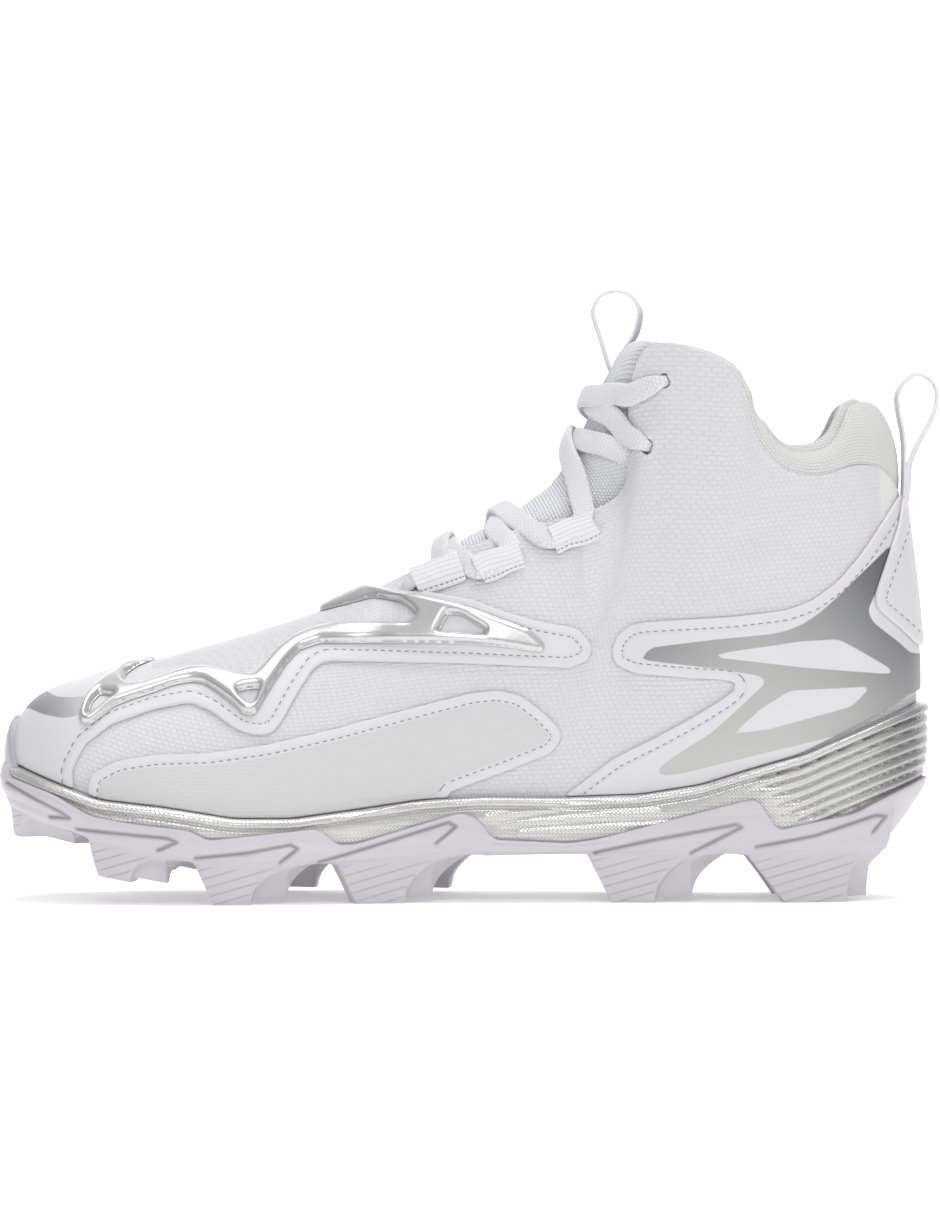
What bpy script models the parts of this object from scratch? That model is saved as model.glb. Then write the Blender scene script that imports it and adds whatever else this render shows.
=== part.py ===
"""Mid-cut baseball cleat, right foot, standing empty on its studs.

The toe points along -X, the inner (big-toe) side faces -Y and +Z is up.
Sizes below are in millimetres, and the meshes are made in metres.
"""

import math

import bmesh
import bpy
import numpy as np

MM = 0.001

# Driving sizes of the shoe.
WALL = 2.2             # thickness of the upper: textile, foam and lining
GAP = 0.3              # clearance kept between neighbouring pieces
OVERLAY = 1.0          # thickness of a sewn synthetic overlay
CAGE = 2.4             # height of the moulded forefoot cage
INSOLE = 4.0           # thickness of the sockliner
LIP = 1.3              # thickness of the outsole's side lip over the midsole
RIM = 1.5              # thickness of the midsole's top edge
BULGE = 4.0            # how far the midsole's side stands out from the upper
HEEL_BULGE = 1.5       # and how much further at the heel's back
HEEL_TUCK = 7.0        # how far the heel's back slants in from the lip to the plate
HEEL_RIBS = 4          # ribs along the midsole's heel
HEEL_RIB = 0.5         # half their depth
STEP_INSET = 1.2       # the stud faces are set in from the outsole's edge by this
TONGUE = 4.5           # thickness of the padded tongue
LOOP_THICK = 1.4       # folded webbing of a lace loop
LACE_WIDTH = 5.6       # flat lace
LACE_THICK = 2.6
EYELET = 5.0           # diameter of the punched eyelets
WEBBING = 1.2          # thickness of the pull loops' webbing
PULL_WIDTH = 8.0       # width of the pull loops' webbing

# The last, one row for each section from the heel's back to the toe tip.
# base: where the section leaves the sole. top: the collar, the throat edge and then the vamp's ridge.
# flare and rise lead the section off the base; sweep, reach and fall lead it back, out and down from its top.
LAST_COLUMNS = ("base_x", "inner", "outer", "base_z", "top_x", "ridge", "gap", "top_z",
                "flare", "rise", "sweep", "reach", "fall")
LAST_ROWS = (
    (137.5, 0.0, 0.0, 30.0, 139.0, 0.0, 0.0, 130.0, 12.0, 30.0, 0.0, 5.0, 40.0),
    (135.0, 10.5, 10.5, 30.0, 136.5, 0.0, 9.5, 133.0, 11.5, 31.0, 0.0, 5.0, 40.0),
    (128.0, 19.5, 19.5, 29.6, 131.0, 0.0, 16.5, 137.5, 10.0, 33.0, 0.0, 6.0, 42.0),
    (116.0, 26.0, 26.2, 28.8, 123.0, 0.0, 23.0, 138.0, 8.5, 34.0, 0.0, 8.0, 44.0),
    (101.0, 29.6, 30.2, 28.0, 112.0, 0.0, 28.5, 134.8, 7.5, 35.0, 0.0, 8.0, 44.0),
    (88.0, 30.3, 31.5, 27.4, 102.0, 0.0, 31.5, 136.0, 7.0, 36.0, 0.0, 6.0, 44.0),
    (77.0, 30.0, 32.4, 27.0, 94.5, 0.0, 33.0, 142.0, 6.5, 36.0, 0.0, 4.0, 46.0),
    (68.0, 29.7, 33.1, 26.6, 90.0, 0.0, 33.2, 150.0, 6.0, 36.0, 0.0, 4.0, 48.0),
    (61.0, 29.4, 33.6, 26.4, 87.5, 0.0, 33.0, 161.0, 6.0, 36.0, 0.0, 4.0, 52.0),
    (55.0, 29.1, 34.0, 26.2, 82.5, 0.0, 31.8, 169.5, 6.0, 36.0, 1.0, 4.0, 56.0),
    (49.0, 28.8, 34.4, 26.0, 71.0, 0.0, 28.0, 175.0, 6.0, 36.0, 5.0, 5.0, 57.0),
    (43.0, 28.5, 34.8, 25.8, 58.0, 0.0, 21.5, 176.0, 6.0, 36.0, 11.0, 7.0, 56.0),
    (37.0, 28.4, 35.3, 25.6, 52.5, 0.0, 18.5, 164.0, 6.0, 36.0, 11.0, 9.0, 48.0),
    (30.0, 28.3, 35.9, 25.4, 51.5, 0.0, 17.5, 148.0, 6.0, 36.0, 8.0, 11.0, 40.0),
    (21.0, 28.4, 36.6, 25.2, 50.0, 0.0, 17.5, 131.0, 6.0, 34.0, 3.0, 14.0, 32.0),
    (9.0, 29.2, 38.0, 24.9, 39.0, 0.0, 17.2, 123.5, 6.0, 34.0, 1.0, 14.0, 28.0),
    (-6.0, 30.6, 40.0, 24.4, 20.0, 0.0, 17.0, 119.0, 6.0, 33.0, 0.0, 14.0, 24.0),
    (-24.0, 34.0, 42.3, 23.3, 1.0, 0.0, 14.5, 112.5, 5.5, 32.0, 0.0, 15.0, 18.0),
    (-41.0, 38.5, 44.5, 22.0, -15.0, 0.0, 9.0, 105.5, 5.0, 30.0, 0.0, 16.0, 10.0),
    (-56.0, 42.3, 45.8, 20.9, -24.0, 0.0, 0.0, 101.5, 5.0, 29.0, 0.0, 22.0, 3.0),
    (-71.0, 45.0, 46.3, 20.5, -44.0, -1.0, 0.0, 91.8, 4.5, 28.0, 0.0, 26.0, 2.0),
    (-86.0, 45.8, 45.0, 21.5, -66.0, -3.0, 0.0, 84.3, 4.5, 26.0, 0.0, 27.0, 2.0),
    (-101.0, 45.0, 41.0, 25.0, -84.0, -4.5, 0.0, 79.0, 4.0, 25.0, 0.0, 27.0, 2.5),
    (-115.0, 42.0, 34.0, 30.0, -97.0, -5.5, 0.0, 75.2, 4.0, 24.0, 0.0, 26.0, 3.5),
    (-127.0, 36.5, 24.5, 34.3, -104.0, -6.0, 0.0, 73.2, 3.5, 25.0, 0.0, 26.0, 4.5),
    (-136.0, 28.0, 13.0, 37.0, -104.0, -6.0, 0.0, 73.2, 3.0, 26.0, 0.0, 28.0, 5.0),
    (-141.0, 19.0, 2.5, 38.2, -104.0, -6.0, 0.0, 73.2, 3.0, 27.0, 0.0, 29.0, 5.5),
    (-143.0, 9.5, -9.5, 38.5, -104.0, -6.0, 0.0, 73.2, 3.0, 27.0, 0.0, 29.0, 5.5),
)
TIP = len(LAST_ROWS) - 1
THROAT = 19            # the row where the throat closes and the vamp's ridge starts

# Lines of the sole in the side view, as (x, z).
RIM_LINE = ((-150, 46.5), (-142, 43.5), (-130, 38.8), (-114, 32.8), (-95, 30.6), (-73, 27.0),
            (-55, 26.9), (-36, 29.4), (-14, 32.5), (5, 33.5), (30, 33.2), (55, 34.1), (74, 37.2), (89, 42.0),
            (105, 46.8), (124, 56.0), (144, 66.5), (152, 70.0))
LIP_LINE = ((-150, 42.5), (-142, 40.5), (-127, 34.8), (-116, 28.0), (-105, 25.8), (-85, 23.3), (-81, 20.3),
            (-47, 23.9), (-42, 18.8), (-36, 18.8), (-2, 28.7), (4, 26.5), (8, 20.0), (33, 18.8),
            (43, 20.4), (89, 32.6), (93, 32.6), (97, 22.8), (121, 28.2), (144, 43.5), (152, 48.0))
BED_LINE = ((-150, 35.5), (-143, 34.0), (-130, 29.5), (-110, 22.0), (-90, 17.5), (-70, 16.2), (-40, 17.0),
            (0, 19.0), (50, 19.5), (100, 19.5), (152, 21.0))
PLATE_LINE = ((-150, 31.0), (-143, 29.5), (-130, 25.0), (-110, 18.0), (-90, 13.9), (-70, 12.4), (-40, 12.8),
              (0, 15.0), (30, 15.6), (50, 15.6), (86, 15.4), (110, 15.4), (130, 16.5), (152, 19.0))
SOFTEN = 2.4           # half width over which a sole line's corners are rounded

# The toe guard, a tab of the outsole that stands in front of the toe cap.
GUARD_RISE = 18.0
GUARD_SPAN = 15.0

# Studs of the inner side, at the tip and at the root; outer ones are the same, set back by "back".
STUD_COLUMNS = ("name", "front_tip", "ridge_tip", "back_tip", "front_z", "back_z",
                "front_root", "ridge_root", "back_root", "back")
STUD_ROWS = (
    ("toe", -144.0, -141.5, -127.0, 21.0, 17.0, -145.0, -137.0, -117.0, 7.0),
    ("front", -115.0, -105.0, -94.0, 9.0, 5.0, -119.5, -96.0, -84.0, 7.0),
    ("ball", -78.5, -67.0, -54.5, 0.0, 0.0, -86.0, -55.0, -41.0, 7.0),
    ("waist", -34.0, -19.0, -9.5, 0.0, 0.0, -41.0, -8.0, 6.0, 6.0),
    ("heel_front", 46.0, 59.5, 71.5, 0.0, 0.0, 37.0, 74.0, 86.0, 3.0),
    ("heel_back", 101.0, 118.5, 125.5, 0.0, 0.0, 87.0, 126.0, 133.0, 0.0),
)

# Overlays cut from the upper, as side-view outlines (x, z) that run round each piece.
VAMP_OUTLINE = ((-160, 30), (-122, 30), (-123.5, 42), (-119.5, 50), (-111, 56.5), (-98, 61), (-86.5, 63.2),
                (-80, 60.6), (-71.5, 54.6), (-66, 53.0), (-61, 53.4), (-58, 57), (-52.5, 67), (-47.5, 74.4),
                (-43.5, 76.2), (0, 75.6), (33, 74.2), (38.5, 76.5), (39.8, 80.5), (35.5, 86.0), (23, 88.2),
                (13, 91.0), (2.4, 94.8), (-11, 97.2), (-20, 97.4), (-28, 98.6), (-33, 112), (-160, 112))
CAGE_OUTLINE = ((-121.8, 59.0), (-119.0, 56.3), (-114.5, 58.5), (-107, 63), (-97.0, 66.0), (-86, 68.2),
                (-80.5, 66.2), (-73.5, 61.0), (-69.5, 57.8), (-66.0, 58.2), (-62.5, 62.5), (-56.5, 72.5),
                (-51, 79.0), (-44, 81.5), (-20, 81.5), (0, 81.6), (12, 80.6), (24, 78.8), (25, 81.0),
                (20, 85.5), (6, 90.7), (-4.3, 94.0), (-14.8, 96.0), (-22, 96.2), (-30, 98.0), (-36, 110),
                (-58, 110), (-46, 90.5), (-29, 95.2), (-19.5, 94.0), (-14.6, 90.0), (-17.0, 87.2),
                (-40, 86.8), (-52, 84.0), (-61, 75.5), (-68, 68.6),
                (-73, 67.2), (-80, 71.5), (-88, 73.0), (-100, 69.5), (-104, 69.2), (-99, 72.8),
                (-103, 90), (-112, 90), (-111, 70.0), (-118, 66.5))
CAGE_WINDOWS = (
    ((-118.4, 60.6), (-117.2, 62.5), (-113.6, 65.4), (-108.6, 65.6), (-111.0, 62.8)),
    ((-71.2, 64.4), (-66.5, 66.0), (-62.8, 65.0), (-67.0, 60.2)),
    ((-8.3, 84.6), (-5.2, 90.3), (-1.5, 90.2), (6.6, 85.6), (5.6, 84.0)),
)
PANEL_OUTLINE = ((-118, 33.2), (-116.8, 40.5), (-109, 44.5), (-97, 46.4), (-80, 46.9), (-62, 49.5),
                 (-40, 54.6), (-12, 62.2), (2, 65.8), (10, 66.6), (17, 65.2), (24, 60), (29, 55), (30.2, 52),
                 (27, 47.5), (12, 41.5), (-6, 35.0), (-6, 20), (-118, 20))
COUNTER_OUTLINE = ((31, 30), (46, 44.5), (63, 54.8), (78, 63.2), (88.5, 70.5), (87, 72.2), (66, 73.8),
                   (55, 74.8), (49.5, 77.2), (48, 80.5), (50.5, 86.5), (56.5, 88.4), (85, 90.2), (101, 92),
                   (109.5, 95), (117.5, 101), (125, 109.5), (132, 119.5), (138.5, 129), (160, 129), (160, 30))
TAB_OUTLINE = ((138.0, 128), (136.6, 119), (132.5, 107.5), (128.4, 96.2), (129.4, 92.5), (136.5, 86.8),
               (142.6, 81.2), (160, 81), (160, 128))

# Lace positions on each side, from the top down: side-view x and z, and the row of the throat edge there.
EYELETS = ((63.0, 165.3, 12.0), (57.4, 144.5, 13.3))
WEBBING_LOOPS = ((34.5, 116.5, 15.3), (11.0, 107.0, 16.6), (-5.5, 104.0, 17.5))
LOOP_SIZE = (12.0, 7.5)      # length of a webbing loop along the throat and across it

# Centre line of the tongue above the throat, for rows of the last, as (row, x, z).
TONGUE_LINE = ((18.0, -13.0, 107.0), (17.0, 0.0, 115.5), (16.0, 15.5, 123.5), (15.0, 27.0, 132.0),
               (14.0, 33.0, 140.0), (13.0, 38.0, 151.0), (12.0, 42.5, 162.5), (11.0, 49.0, 174.0),
               (10.6, 52.5, 179.0))
# How far the tongue's lowest sections lie forward and down, inside the vamp.
TONGUE_FOOT = ((-19.0, -20.5), (-9.0, -10.5))
TONGUE_LEG = 0.12            # share of a section's height that the tongue's sides reach down inside

# Padded collar above the upper's top edge: height and thickness for rows of the last.
COLLAR_COLUMNS = ("row", "height", "thick", "lean")
COLLAR_ROWS = (
    (0.0, 26.0, 10.0, 3.0), (1.0, 25.5, 10.0, 3.0), (2.0, 22.0, 10.0, 3.0), (3.0, 18.5, 9.5, 2.0),
    (3.5, 10.8, 9.0, 1.0), (4.0, 10.0, 8.5, 0.5), (5.0, 9.0, 8.0, 0.5), (6.0, 8.0, 7.6, 0.0),
    (7.0, 7.0, 7.0, 0.0), (8.0, 6.0, 6.4, 0.0), (9.0, 4.6, 5.6, 0.0), (10.0, 3.0, 4.6, 0.0),
    (10.6, 2.2, 4.0, 0.0),
)

# Pull loops in the side view, as (x, z).
TONGUE_PULL = ((44.6, 171.5), (43.4, 178.5), (40.8, 187.5), (43.2, 193.6), (48.9, 195.4), (54.4, 193.0),
               (56.2, 187.4), (52.2, 182.4), (48.4, 177.4), (46.4, 171.8))
HEEL_PULL = ((140.4, 130.8), (140.4, 146.3), (138.6, 156.8), (139.0, 162.8), (144.4, 167.8), (149.6, 165.4),
             (151.2, 160.4), (149.4, 153.4), (145.0, 145.2), (142.4, 138.6), (142.0, 130.8))

COLOURS = {
    "white_textile": ((0.82, 0.82, 0.83), 0.75, 0.0),
    "white_synthetic": ((0.84, 0.83, 0.84), 0.5, 0.0),
    "white_rubber": ((0.80, 0.78, 0.80), 0.55, 0.0),
    "silver_foam": ((0.72, 0.72, 0.71), 0.35, 0.8),
    "silver_cage": ((0.78, 0.78, 0.77), 0.35, 0.7),
    "knit": ((0.83, 0.83, 0.81), 0.9, 0.0),
    "lace": ((0.86, 0.85, 0.87), 0.8, 0.0),
    "webbing": ((0.86, 0.85, 0.87), 0.7, 0.0),
}


def clear_scene():
    for old in list(bpy.data.objects):
        bpy.data.objects.remove(old)


def material(name):
    made = bpy.data.materials.get(name)
    if made:
        return made
    colour, roughness, metallic = COLOURS[name]
    made = bpy.data.materials.new(name)
    made.use_nodes = True
    shader = made.node_tree.nodes["Principled BSDF"]
    shader.inputs["Base Color"].default_value = (*colour, 1.0)
    shader.inputs["Roughness"].default_value = roughness
    shader.inputs["Metallic"].default_value = metallic
    return made


def add_solid(name, points, faces, finish, hidden=False):
    """One named mesh object from points in millimetres, doubles merged and faces turned outwards."""
    mesh = bpy.data.meshes.new(name)
    mesh.from_pydata((np.asarray(points, float) * MM).tolist(), [], [list(f) for f in faces])
    shape = bmesh.new()
    shape.from_mesh(mesh)
    bmesh.ops.remove_doubles(shape, verts=shape.verts, dist=0.00002)
    bmesh.ops.dissolve_degenerate(shape, edges=shape.edges, dist=0.000005)
    bmesh.ops.recalc_face_normals(shape, faces=shape.faces)
    shape.to_mesh(mesh)
    shape.free()
    made = bpy.data.objects.new(name, mesh)
    bpy.context.scene.collection.objects.link(made)
    mesh.materials.append(material(finish))
    mesh.shade_smooth()
    mesh.set_sharp_from_angle(angle=math.radians(40))
    if hidden:
        made.hide_render = True
        made.display_type = "WIRE"
    return made


def boolean(target, cutter, operation):
    cut = target.modifiers.new(operation.lower(), "BOOLEAN")
    cut.operation = operation
    cut.solver = "EXACT"
    cut.object = cutter


def spline(values, at):
    """Smooth curve through rows of values at whole numbers, read at the places in at, ends held."""
    values = np.asarray(values, float)
    last = len(values) - 1
    at = np.clip(np.asarray(at, float), 0, last)
    i = np.minimum(at.astype(int), last - 1)
    t = at - i
    before = values[np.maximum(i - 1, 0)]
    start, end = values[i], values[i + 1]
    after = values[np.minimum(i + 2, last)]
    if values.ndim > 1:
        t = t[..., None]
    lead, trail = (end - before) / 2, (after - start) / 2
    return (start * (2 * t**3 - 3 * t**2 + 1) + lead * (t**3 - 2 * t**2 + t)
            + end * (3 * t**2 - 2 * t**3) + trail * (t**3 - t**2))


def curve(points, count):
    """A smooth line of count points through a few chosen ones."""
    return spline(points, np.linspace(0, len(points) - 1, count))


def eased(points, count, passes=3):
    """A line of count evenly spaced points along a few chosen ones, its corners eased by averaging."""
    points = np.array(points, float)
    travel = np.concatenate([[0.0], np.cumsum(np.linalg.norm(np.diff(points, axis=0), axis=1))])
    path = np.stack([np.interp(np.linspace(0, travel[-1], count), travel, column) for column in points.T], 1)
    for _ in range(passes):
        path[1:-1] = (path[:-2] + 2 * path[1:-1] + path[2:]) / 4
    return path


def line_height(line, x, soften=SOFTEN):
    """Height of a sole line at x, its corners rounded by averaging over a short window."""
    xs, zs = np.array(line, float).T
    window = np.linspace(-soften, soften, 9)
    return np.mean([np.interp(np.asarray(x, float) + w, xs, zs) for w in window], axis=0)


def last_column(name):
    return np.array([row[LAST_COLUMNS.index(name)] for row in LAST_ROWS])


def round_loop(rows):
    """Rows of the whole loop: heel, inner side, toe tip and outer side, padded so that it closes smoothly."""
    return np.concatenate([rows[-2:], rows, rows[:3]])


def base_loop():
    """The upper's bottom outline as rows of (x, y): heel, inner side, toe tip, outer side."""
    x, inner, outer = (last_column(c) for c in ("base_x", "inner", "outer"))
    inner_side = np.stack([x, -inner], 1)
    outer_side = np.stack([x, outer], 1)[1:-1][::-1]
    return np.concatenate([inner_side, outer_side])


LOOP = round_loop(base_loop())


def row_of(q):
    """Row of the table at place q: 0 at the heel, TIP at the toe, then back along the outer side."""
    q = np.mod(np.asarray(q, float), 2 * TIP)
    return np.where(q <= TIP, q, 2 * TIP - q)


def side_of(q):
    """-1 on the inner side of the loop and +1 on the outer side."""
    return np.where(np.mod(np.asarray(q, float), 2 * TIP) <= TIP, -1.0, 1.0)


def mirrored(name, q):
    """A column that is the same on both sides, read at q."""
    rows = last_column(name)
    padded = np.concatenate([rows[2:0:-1], rows, rows[-2:-4:-1]])
    return spline(padded, row_of(q) + 2)


def base_points(q):
    """Bottom outline (x, y) and its outward normal at q."""
    q = np.mod(np.asarray(q, float), 2 * TIP)
    step = 0.05
    point = spline(LOOP, q + 2)
    ahead = spline(LOOP, q + 2 + step) - spline(LOOP, q + 2 - step)
    normal = np.stack([-ahead[..., 1], ahead[..., 0]], -1)
    return point, normal / np.linalg.norm(normal, axis=-1, keepdims=True)


def section_controls(q):
    """The four control points of the section curve at each q."""
    q = np.asarray(q, float)
    row = row_of(q)
    base, normal = base_points(q)
    gap = np.where(row >= THROAT, 0.0, np.maximum(mirrored("gap", q), 0.0))
    p0 = np.stack([base[..., 0], base[..., 1], mirrored("base_z", q)], -1)
    p3 = np.stack([mirrored("top_x", q), mirrored("ridge", q) + side_of(q) * gap, mirrored("top_z", q)], -1)
    out = np.concatenate([normal, np.zeros(normal.shape[:-1] + (1,))], -1)
    up = np.array([0.0, 0.0, 1.0])
    p1 = p0 + out * mirrored("flare", q)[..., None] + up * mirrored("rise", q)[..., None]
    p2 = p3 + out * mirrored("reach", q)[..., None] - up * mirrored("fall", q)[..., None]
    p2[..., 0] += mirrored("sweep", q)
    return p0, p1, p2, p3


def surface(q, v):
    """Outer surface of the upper: q round the shoe, v from 0 at the sole to 1 at the top edge or ridge."""
    p0, p1, p2, p3 = section_controls(q)
    v = np.asarray(v, float)[..., None]
    return p0 * (1 - v)**3 + 3 * p1 * v * (1 - v)**2 + 3 * p2 * v**2 * (1 - v) + p3 * v**3


def surface_normal(q, v):
    """Outward normal of the upper's surface, read below the top, as the toe's sections meet in one point."""
    q, v = np.asarray(q, float), np.minimum(v, 0.97)
    step_q, step_v = 0.04, 0.01
    along = surface(q + step_q, v) - surface(q - step_q, v)
    above, below = np.minimum(v + step_v, 1.0), np.maximum(v - step_v, 0.0)
    upward = surface(q, above) - surface(q, below)
    normal = np.cross(upward, along)
    return normal / np.maximum(np.linalg.norm(normal, axis=-1, keepdims=True), 1e-9)


def place_on_side(x, z, side):
    """The (q, v) of the upper's surface at side-view (x, z) on the inner (-1) or outer (+1) side."""
    rows = np.linspace(0.3, TIP - 0.3, 260)
    shares = np.linspace(0.02, 0.995, 120)
    q = rows if side < 0 else 2 * TIP - rows
    qq, vv = np.meshgrid(q, shares, indexing="ij")
    seen = surface(qq, vv)
    miss = (seen[..., 0] - x)**2 + (seen[..., 2] - z)**2
    best = np.unravel_index(np.argmin(miss), miss.shape)
    return qq[best], vv[best]


def loop_places(throat_steps=18, toe_steps=9):
    """Places round the loop for the mesh columns, inner side first, closer together towards the toe tip."""
    toe = THROAT + (TIP - THROAT) * (1 - (1 - np.linspace(0, 1, toe_steps + 1)[1:])**1.3)
    rows = np.concatenate([np.linspace(0, THROAT, throat_steps + 1), toe])
    return np.concatenate([rows, (2 * TIP - rows)[1:-1][::-1]])


def grid_faces(columns, rows, wrap):
    """Quads of a grid of points stored column by column."""
    faces = []
    for c in range(columns if wrap else columns - 1):
        d = (c + 1) % columns
        for r in range(rows - 1):
            faces.append((c * rows + r, d * rows + r, d * rows + r + 1, c * rows + r + 1))
    return faces


def upper_skin(q, heights, offset):
    """Points of the upper's surface moved out by offset, meeting along the ridge and at the toe's pole."""
    qq, vv = np.meshgrid(q, np.linspace(0, 1, heights), indexing="ij")
    points = surface(qq, vv) + surface_normal(qq, vv) * offset
    ridge = row_of(q) >= THROAT
    mirror = (len(q) - np.arange(len(q))) % len(q)
    top = points[:, -1].copy()
    points[ridge, -1] = (top[ridge] + top[mirror][ridge]) / 2
    pole = row_of(q) >= TIP - 3
    points[pole, -1] = points[pole, -1].mean(0)
    return points


def shell(name, inner, outer, finish, heights=7):
    """A closed shell of the upper's own form between two offsets from its outer surface."""
    q = loop_places()
    columns = len(q)
    points = np.concatenate([upper_skin(q, heights, depth).reshape(-1, 3) for depth in (outer, inner)])
    # every shell splits its quads along the same diagonal, so that neighbouring shells stay parallel
    sheet = [half for a, b, c, d in grid_faces(columns, heights, True) for half in ((a, b, c), (a, c, d))]
    under = columns * heights
    faces = sheet + [tuple(k + under for k in face[::-1]) for face in sheet]
    closed = row_of(q) >= THROAT
    for c in range(columns):
        d = (c + 1) % columns
        low, next_low = c * heights, d * heights
        faces.append((low, low + under, next_low + under, next_low))
        if not (closed[c] and closed[d]):
            high, next_high = low + heights - 1, next_low + heights - 1
            faces.append((high, next_high, next_high + under, high + under))
    return add_solid(name, points, faces, finish)


def prism(name, outline, near, far):
    """A hidden cutter: a side-view outline (x, z) carried across from y = near to y = far."""
    count = len(outline)
    points = [(x, near, z) for x, z in outline] + [(x, far, z) for x, z in outline]
    faces = [tuple(range(count)), tuple(range(count, 2 * count))]
    faces += [(i, (i + 1) % count, count + (i + 1) % count, count + i) for i in range(count)]
    return add_solid(name, points, faces, "white_synthetic", hidden=True)


def above_rim(outline):
    """An outline whose lower edge is raised to follow the midsole's rim."""
    points = []
    for i, (x, z) in enumerate(outline):
        before = outline[i - 1]
        low = line_height(RIM_LINE, x) + GAP + 0.3
        if z < low and before[1] < line_height(RIM_LINE, before[0]) + GAP + 0.3:
            for share in np.linspace(0, 1, 7)[1:-1]:
                xs = before[0] + (x - before[0]) * share
                points.append((xs, line_height(RIM_LINE, xs) + GAP + 0.3))
        points.append((x, max(z, low)))
    return points


def overlay(name, outline, inner, outer, finish, near=-90.0, far=90.0, windows=()):
    """An overlay cut from between two larger forms of the upper by its side-view outline."""
    made = shell(name, inner, outer, finish)
    boolean(made, prism(name + "_outline", above_rim(outline), near, far), "INTERSECT")
    for i, window in enumerate(windows):
        boolean(made, prism(f"{name}_window_{i}", window, near, far), "DIFFERENCE")
    return made


def make_upper():
    made = shell("upper", -WALL, 0.0, "white_textile")
    for side, label in ((-1, "inner"), (1, "outer")):
        for i, (x, z, _) in enumerate(EYELETS):
            q, v = place_on_side(x, z, side)
            centre, out = surface(q, v), surface_normal(q, v)
            hole = rod(f"eyelet_hole_{label}_{i}", centre - out * 8, centre + out * 8, EYELET / 2)
            boolean(made, hole, "DIFFERENCE")


def rod(name, start, end, radius, sides=12):
    """A hidden round cutter between two points."""
    axis = (end - start) / np.linalg.norm(end - start)
    across = np.cross(axis, (0.0, 0.0, 1.0))
    across /= np.linalg.norm(across)
    other = np.cross(axis, across)
    turn = np.linspace(0, 2 * math.pi, sides, endpoint=False)
    ring = radius * (np.cos(turn)[:, None] * across + np.sin(turn)[:, None] * other)
    points = np.concatenate([start + ring, end + ring])
    faces = [tuple(range(sides)), tuple(range(sides, 2 * sides))]
    faces += [(i, (i + 1) % sides, sides + (i + 1) % sides, sides + i) for i in range(sides)]
    return add_solid(name, points, faces, "white_synthetic", hidden=True)


def wall_point(q, z):
    """Point of the upper's outer surface at height z above place q, or its base edge where z is lower."""
    shares = np.linspace(0, 0.75, 61)
    found = []
    for place, height in zip(np.atleast_1d(q), np.atleast_1d(z)):
        line = surface(np.full(len(shares), place), shares)
        share = np.interp(height, line[:, 2], shares)
        found.append(surface(np.array([place]), np.array([share]))[0])
    found = np.array(found)
    found[:, 2] = z
    return found


def ring_solid(name, rings, finish):
    """A solid from closed rings of points round the loop, rings[k] being the k-th ring of the profile.
    The first and last rings are closed across the shoe, inner side to outer side."""
    places = len(rings[0])
    points = np.stack(rings, axis=1).reshape(-1, 3)
    faces = grid_faces(places, len(rings), True)
    half = places // 2
    for ring in (0, len(rings) - 1):
        for i in range(half):
            a, b = i, i + 1
            c, d = (places - b) % places, (places - a) % places
            corners = [k * len(rings) + ring for k in (a, b, c, d)]
            unique = list(dict.fromkeys(corners))
            faces.append(tuple(unique))
    return add_solid(name, points, faces, finish)


def rib_share(x):
    """1 where the midsole's heel is ribbed, fading out towards the waist."""
    return np.clip((np.asarray(x) - 92.0) / 14.0, 0.0, 1.0)


def heel_share(x):
    """0 along the shoe, rising to 1 at the back of the heel."""
    return np.clip((np.asarray(x) - 112.0) / 28.0, 0.0, 1.0)


def bed_height(x):
    """Height of the outsole's bed, kept just under its lip where the lip runs low."""
    return np.minimum(line_height(BED_LINE, x), line_height(LIP_LINE, x) - 1.0)


def sole_side(q, z, extra):
    """Point of the midsole's side at height z, moved out by extra. It tucks in under the outsole's lip."""
    base, normal = base_points(q)
    x = base[:, 0]
    low, high = bed_height(x), line_height(RIM_LINE, x)
    covered = line_height(LIP_LINE, x, soften=30.0) - 1.0
    share = np.clip((high - z) / (high - low), 0.0, 1.0)
    under = np.clip((covered - z) / (covered - low), 0.0, 1.0)
    bulge = BULGE - RIM + HEEL_BULGE * heel_share(x)
    stand = GAP + RIM + bulge * np.sqrt(np.clip(share * 2.2, 0.0, 1.0))
    tuck = (1.0 + HEEL_TUCK * heel_share(x)) * under**1.6
    point = wall_point(q, z)
    point[:, :2] += normal * (stand - tuck + extra)[:, None]
    return point


def midsole_side(q):
    """Rings of the midsole's outer side, from its bottom to its rim, with the heel's ribs."""
    x = base_points(q)[0][:, 0]
    low = bed_height(x) + 1.5 * GAP
    high = line_height(RIM_LINE, x)
    ribbed = line_height(LIP_LINE, x, soften=30.0) - 1.0
    count = 2 * HEEL_RIBS
    levels = [low] + [ribbed + (high - ribbed) * k / count for k in range(count + 1)]
    rings = []
    for k, z in enumerate(levels):
        rib = 0.0 if k < 2 or k == len(levels) - 1 else HEEL_RIB * (-1)**k
        rings.append(sole_side(q, z, rib * rib_share(x)))
    return rings


def make_midsole():
    q = loop_places()
    base, normal = base_points(q)
    out = np.concatenate([normal, np.zeros((len(q), 1))], 1)
    x = base[:, 0]
    bed = mirrored("base_z", q) - GAP
    rim = line_height(RIM_LINE, x)

    def inside(depth, z):
        return np.column_stack([base - normal * np.broadcast_to(depth, x.shape)[:, None], z])

    side = midsole_side(q)
    inner_rim = wall_point(q, rim) + out * 1.4 * GAP
    inner_mid = wall_point(q, (rim + bed) / 2) + out * 1.8 * GAP
    inner_low = np.column_stack([base + normal * 1.4 * GAP, bed])
    floor = inside(9.0 + HEEL_TUCK * heel_share(x), bed_height(x) + 1.5 * GAP)
    rings = [floor, *side, inner_rim, inner_mid, inner_low, inside(6.0, bed)]
    ring_solid("midsole", rings, "silver_foam")


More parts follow.
